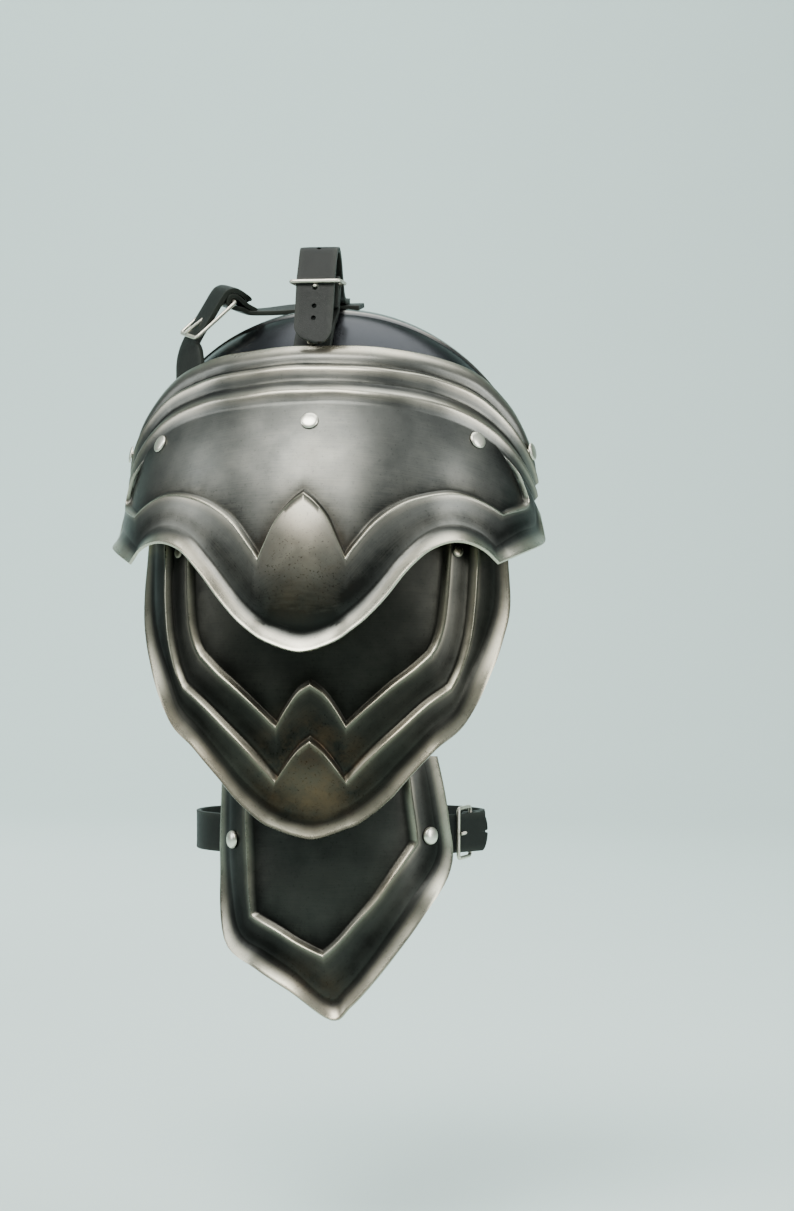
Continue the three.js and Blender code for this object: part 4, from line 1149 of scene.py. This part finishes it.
def noiseAt(tree, vector, scale, detail, roughness, stretch=None):
    if stretch:
        mapping = tree.nodes.new("ShaderNodeMapping")
        mapping.inputs["Scale"].default_value = stretch
        link(tree, vector, mapping.inputs["Vector"])
        vector = mapping.outputs[0]
    made = tree.nodes.new("ShaderNodeTexNoise")
    made.inputs["Scale"].default_value = scale
    made.inputs["Detail"].default_value = detail
    made.inputs["Roughness"].default_value = roughness
    link(tree, vector, made.inputs["Vector"])
    return made.outputs[0]


def newGroup(name, inputs):
    tree = bpy.data.node_groups.new(name, "ShaderNodeTree")
    outputs = {"Color": ("Color",), "Float": ("Roughness", "Height")}
    for way, sockets in (("INPUT", inputs), ("OUTPUT", outputs)):
        for kind, labels in sockets.items():
            for label in labels:
                tree.interface.new_socket(
                    name=label, in_out=way, socket_type="NodeSocket" + kind,
                )
    given, put = tree.nodes.new("NodeGroupInput"), tree.nodes.new("NodeGroupOutput")
    return tree, given.outputs, put.inputs


patinaLook = {
    "cloudScale": 16, "blotScale": 70, "speckScale": 900, "stainScale": 38,
    "lineStretch": (45, 1500, 1), "warm": (0.34, 0.285, 0.2), "stain": (0.11, 0.07, 0.038),
}


# Darkened steel that is rubbed bright on what stands out; it also carries painted shade in the
# hollows and a painted reflection of clouds in bright and dark patches
def makePatina(look):
    tree, given, put = newGroup("patina", {
        "Vector": ("Place", "Flow"), "Color": ("Bright", "Middle", "Deep"),
        "Float": ("Wear", "Dark", "Brown", "ReflectionAndStreaks", "Smooth"),
    })
    plus, minus, times = mathOn(tree)
    clouds = noiseAt(tree, given["Place"], look["cloudScale"], 5, 0.6)
    blots = noiseAt(tree, given["Place"], look["blotScale"], 6, 0.65)
    lines = noiseAt(tree, given["Flow"], 1, 5, 0.6, look["lineStretch"])
    specks = noiseAt(tree, given["Place"], look["speckScale"], 2, 0.5)
    stain = noiseAt(tree, given["Place"], look["stainScale"], 6, 0.7)

    pits = times(minus(specks, 0.6), 6.0, True)
    pits = times(pits, plus(times(given["Brown"], 1.2), 0.3), True)
    # patina and painted shade in the hollows, a painted reflection of clouds as dark patches, and
    # pits
    patinaShadeAndReflection = times(given["Dark"], plus(blots, 0.45))
    patinaShadeAndReflection = plus(patinaShadeAndReflection, times(minus(0.53, clouds), 2.0), True)
    patinaShadeAndReflection = plus(patinaShadeAndReflection, pits, True)
    stain = times(times(minus(stain, 0.36), 3.2, True), given["Brown"], True)
    rubbed = times(given["Wear"], plus(times(blots, 1.1), 0.45))
    # the clouds also give a painted reflection as bright patches; the lines are brushed streaks
    paintedCloudReflection = times(minus(clouds, 0.42), given["ReflectionAndStreaks"])
    streaks = times(times(minus(lines, 0.5), 0.35), given["ReflectionAndStreaks"])
    rubbed = plus(rubbed, plus(paintedCloudReflection, streaks), True)
    rubbed = times(rubbed, minus(1.0, times(stain, 0.6)))
    rubbed = times(rubbed, minus(1.0, pits))

    tint = times(minus(clouds, 0.4), 2.2, True)
    bright = mixColour(tree, tint, given["Bright"], look["warm"])
    colour = mixColour(tree, patinaShadeAndReflection, given["Middle"], given["Deep"])
    colour = mixColour(tree, stain, colour, look["stain"])
    link(tree, mixColour(tree, rubbed, colour, bright), put["Color"])
    rough = minus(plus(given["Smooth"], times(blots, 0.2)), times(rubbed, 0.1))
    link(tree, plus(rough, times(lines, 0.05), True), put["Roughness"])
    height = plus(times(lines, 0.5), times(blots, 0.5))
    link(tree, minus(height, times(pits, 0.6)), put["Height"])
    return tree


hideLook = {"cellScale": 1100, "blotScale": 60, "fineScale": 700, "sheen": 0.22}


# Fine pebbled hide with worn edges
def makeGrain(look):
    tree, given, put = newGroup("hideGrain", {
        "Vector": ("Place",), "Color": ("Hide", "Worn"), "Float": ("Wear", "Smooth"),
    })
    plus, minus, times = mathOn(tree)
    cells = tree.nodes.new("ShaderNodeTexVoronoi")
    cells.feature = "DISTANCE_TO_EDGE"
    cells.inputs["Scale"].default_value = look["cellScale"]
    link(tree, given["Place"], cells.inputs["Vector"])
    blots = noiseAt(tree, given["Place"], look["blotScale"], 6, 0.6)
    fine = noiseAt(tree, given["Place"], look["fineScale"], 4, 0.6)
    rubbed = times(given["Wear"], plus(blots, 0.2))
    rubbed = plus(rubbed, times(minus(blots, 0.45), 0.7), True)
    link(tree, mixColour(tree, rubbed, given["Hide"], given["Worn"]), put["Color"])
    link(tree, plus(given["Smooth"], times(fine, 0.25), True), put["Roughness"])
    link(tree, plus(times(cells.outputs[0], 2.0), times(fine, 0.5)), put["Height"])
    return tree


patina = makePatina(patinaLook)
hideGrain = makeGrain(hideLook)


def finishOf(name, group, values, bumpStrength, bumpDistance):
    material = bpy.data.materials.new(name)
    material.use_nodes = True
    tree = material.node_tree
    shader = tree.nodes["Principled BSDF"]
    if group == patina:
        shader.inputs["Metallic"].default_value = 1.0
    else:
        shader.inputs["Specular IOR Level"].default_value = hideLook["sheen"]
    made = tree.nodes.new("ShaderNodeGroup")
    made.node_tree = group
    for key, value in values.items():
        made.inputs[key].default_value = (*value, 1) if isinstance(value, tuple) else value
    coordinates = tree.nodes.new("ShaderNodeTexCoord")
    link(tree, coordinates.outputs["Object"], made.inputs["Place"])
    for label, output in (("Wear", "Fac"), ("Dark", "Fac"), ("Brown", "Fac"), ("Flow", "Vector")):
        if label in made.inputs:
            read = tree.nodes.new("ShaderNodeAttribute")
            read.attribute_name = label.lower()
            link(tree, read.outputs[output], made.inputs[label])
    link(tree, made.outputs["Color"], shader.inputs["Base Color"])
    link(tree, made.outputs["Roughness"], shader.inputs["Roughness"])
    bump = tree.nodes.new("ShaderNodeBump")
    bump.inputs["Strength"].default_value = bumpStrength
    bump.inputs["Distance"].default_value = bumpDistance
    link(tree, made.outputs["Height"], bump.inputs["Height"])
    link(tree, bump.outputs[0], shader.inputs["Normal"])
    return material


# Plates have a finish each, and the other pieces that of their slot
steelRows = [
    (
        "main_plate", "mainSteel", (0.5, 0.475, 0.385), (0.1, 0.103, 0.095),
        (0.02, 0.021, 0.019), 0.4, 0.24, 0.1, 0.0003,
    ),
    (
        "upper_lame", "upperSteel", (0.265, 0.255, 0.195), (0.036, 0.036, 0.031),
        (0.009, 0.009, 0.0075), 0.16, 0.24, 0.12, 0.0003,
    ),
    (
        "lower_lame", "lowerSteel", (0.315, 0.305, 0.24), (0.042, 0.043, 0.039),
        (0.011, 0.011, 0.01), 0.16, 0.24, 0.12, 0.0003,
    ),
    (
        "top_plate", "topSteel", (0.25, 0.25, 0.235), (0.03, 0.032, 0.036),
        (0.01, 0.011, 0.013), 0.08, 0.12, 0.08, 0.0003,
    ),
    (
        "nickel", "wornNickel", (0.88, 0.86, 0.74), (0.74, 0.71, 0.6),
        (0.26, 0.23, 0.17), 0.6, 0.3, 0.12, 0.0002,
    ),
    (
        "dark_rivet", "darkRivetSteel", (0.3, 0.28, 0.22), (0.09, 0.085, 0.07),
        (0.02, 0.02, 0.018), 0.4, 0.25, 0.1, 0.0002,
    ),
]
hideRows = [
    (
        "strap_leather", "strapHide", (0.0045, 0.0062, 0.0044), (0.02, 0.0235, 0.018),
        0.4, 0.3, 0.0002,
    ),
    (
        "inner_leather", "innerHide", (0.05, 0.028, 0.015), (0.12, 0.075, 0.042),
        0.45, 0.3, 0.0002,
    ),
]
finishes = {}
for group, labels, rows in (
    (patina, ("Bright", "Middle", "Deep", "ReflectionAndStreaks", "Smooth"), steelRows),
    (hideGrain, ("Hide", "Worn", "Smooth"), hideRows),
):
    for use, name, *values, bumpStrength, bumpDistance in rows:
        values = dict(zip(labels, values))
        finishes[use] = finishOf(name, group, values, bumpStrength, bumpDistance)


def paint(piece, finish):
    piece.data.materials.clear()
    piece.data.materials.append(finishes[finish])


for name, plate in plates.items():
    paint(plate, name)
for piece in straps + innerLeathers + wires + rivets:
    paint(piece, piece["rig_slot"])
print("finishes are on")

# Floor and light
studio = {
    "floorDrop": 0.12, "width": 16.0, "front": -7.0, "wallY": 4.5, "curve": 1.6, "height": 7.0,
    "colour": (0.6, 0.735, 0.7),
}


def makeStudio(values):
    low = cadBox[0].z - values["floorDrop"]
    bm = bmesh.new()
    profile = [(values["front"], low)]
    curve = values["curve"]
    for k in range(17):
        angle = math.pi / 2 * k / 16
        wallPlace = values["wallY"] - curve + curve * math.sin(angle)
        profile.append((wallPlace, low + curve - curve * math.cos(angle)))
    profile.append((values["wallY"], low + values["height"]))
    verts = [bm.verts.new((-values["width"] / 2, y, z)) for y, z in profile]
    edges = [bm.edges.new(pair) for pair in zip(verts, verts[1:])]
    made = bmesh.ops.extrude_edge_only(bm, edges=edges)
    moved = [item for item in made["geom"] if isinstance(item, bmesh.types.BMVert)]
    bmesh.ops.translate(bm, verts=moved, vec=(values["width"], 0, 0))
    floor = newObject("floor", bm)
    floor.data.shade_smooth()
    material = bpy.data.materials.new("paleFloor")
    material.use_nodes = True
    tree = material.node_tree
    shader = tree.nodes["Principled BSDF"]
    shader.inputs["Roughness"].default_value = 0.8
    coordinates = tree.nodes.new("ShaderNodeTexCoord")
    clouds = noiseAt(tree, coordinates.outputs["Object"], 1.3, 5, 0.6)
    dark = tuple(c * 0.94 for c in values["colour"])
    link(tree, mixColour(tree, clouds, values["colour"], dark), shader.inputs["Base Color"])
    floor.data.materials.append(material)


makeStudio(studio)

lamps = rowsOf(("name", "place", "aim", "width", "height", "power", "spread", "colour"), [
    ("keyLamp", (-0.3, -1.25, 1.45), (0, -0.05, -0.05), 1.5, 1.0, 17, 90, (1.0, 0.99, 0.96)),
    ("skyLamp", (0.1, 0.3, 1.6), (0, 0, 0), 1.6, 1.2, 10, 110, (0.97, 1, 1)),
    ("sideLamp", (-1.5, -0.5, 0.5), (0, 0, -0.15), 0.5, 1.2, 5, 120, (0.95, 0.98, 1.0)),
    ("frontLamp", (1.5, -0.7, 0.35), (0, 0, -0.15), 0.5, 1.3, 9, 120, (0.97, 0.99, 1.0)),
    ("wallLamp", (-1.2, 1.4, 1.9), (-0.3, 4.5, 0.2), 2.5, 1.2, 150, 180, (0.97, 1, 1)),
])


# Dark low down, pale overhead
sky = {
    "low": (0.44, (0.06, 0.065, 0.06)), "horizon": (0.505, (0.3, 0.335, 0.325)),
    "high": (0.8, (0.66, 0.74, 0.74)), "strength": 0.8,
}


def makeLamps():
    for row in lamps:
        data = bpy.data.lights.new(row["name"], "AREA")
        data.shape = "RECTANGLE"
        data.size, data.size_y = row["width"], row["height"]
        data.energy = row["power"]
        data.spread = math.radians(row["spread"])
        data.color = row["colour"]
        lamp = bpy.data.objects.new(row["name"], data)
        lamp.location = row["place"]
        way = Vector(row["aim"]) - Vector(row["place"])
        lamp.rotation_euler = way.to_track_quat("-Z", "Y").to_euler()
        bpy.context.scene.collection.objects.link(lamp)


def makeSky(values):
    world = bpy.data.worlds.new("paleStudio")
    bpy.context.scene.world = world
    world.use_nodes = True
    tree = world.node_tree
    coordinates = tree.nodes.new("ShaderNodeTexCoord")
    parts = tree.nodes.new("ShaderNodeSeparateXYZ")
    link(tree, coordinates.outputs["Generated"], parts.inputs[0])
    ramp = tree.nodes.new("ShaderNodeValToRGB")
    stops = ramp.color_ramp.elements
    horizon = stops.new(values["horizon"][0])
    for stop, key in ((stops[0], "low"), (horizon, "horizon"), (stops[-1], "high")):
        stop.position, stop.color = values[key][0], (*values[key][1], 1)
    plus, _, times = mathOn(tree)
    link(tree, times(plus(parts.outputs["Z"], 1.0), 0.5), ramp.inputs[0])
    link(tree, ramp.outputs[0], tree.nodes["Background"].inputs["Color"])
    tree.nodes["Background"].inputs["Strength"].default_value = values["strength"]


makeLamps()
makeSky(sky)
print("floor and lamps are set")
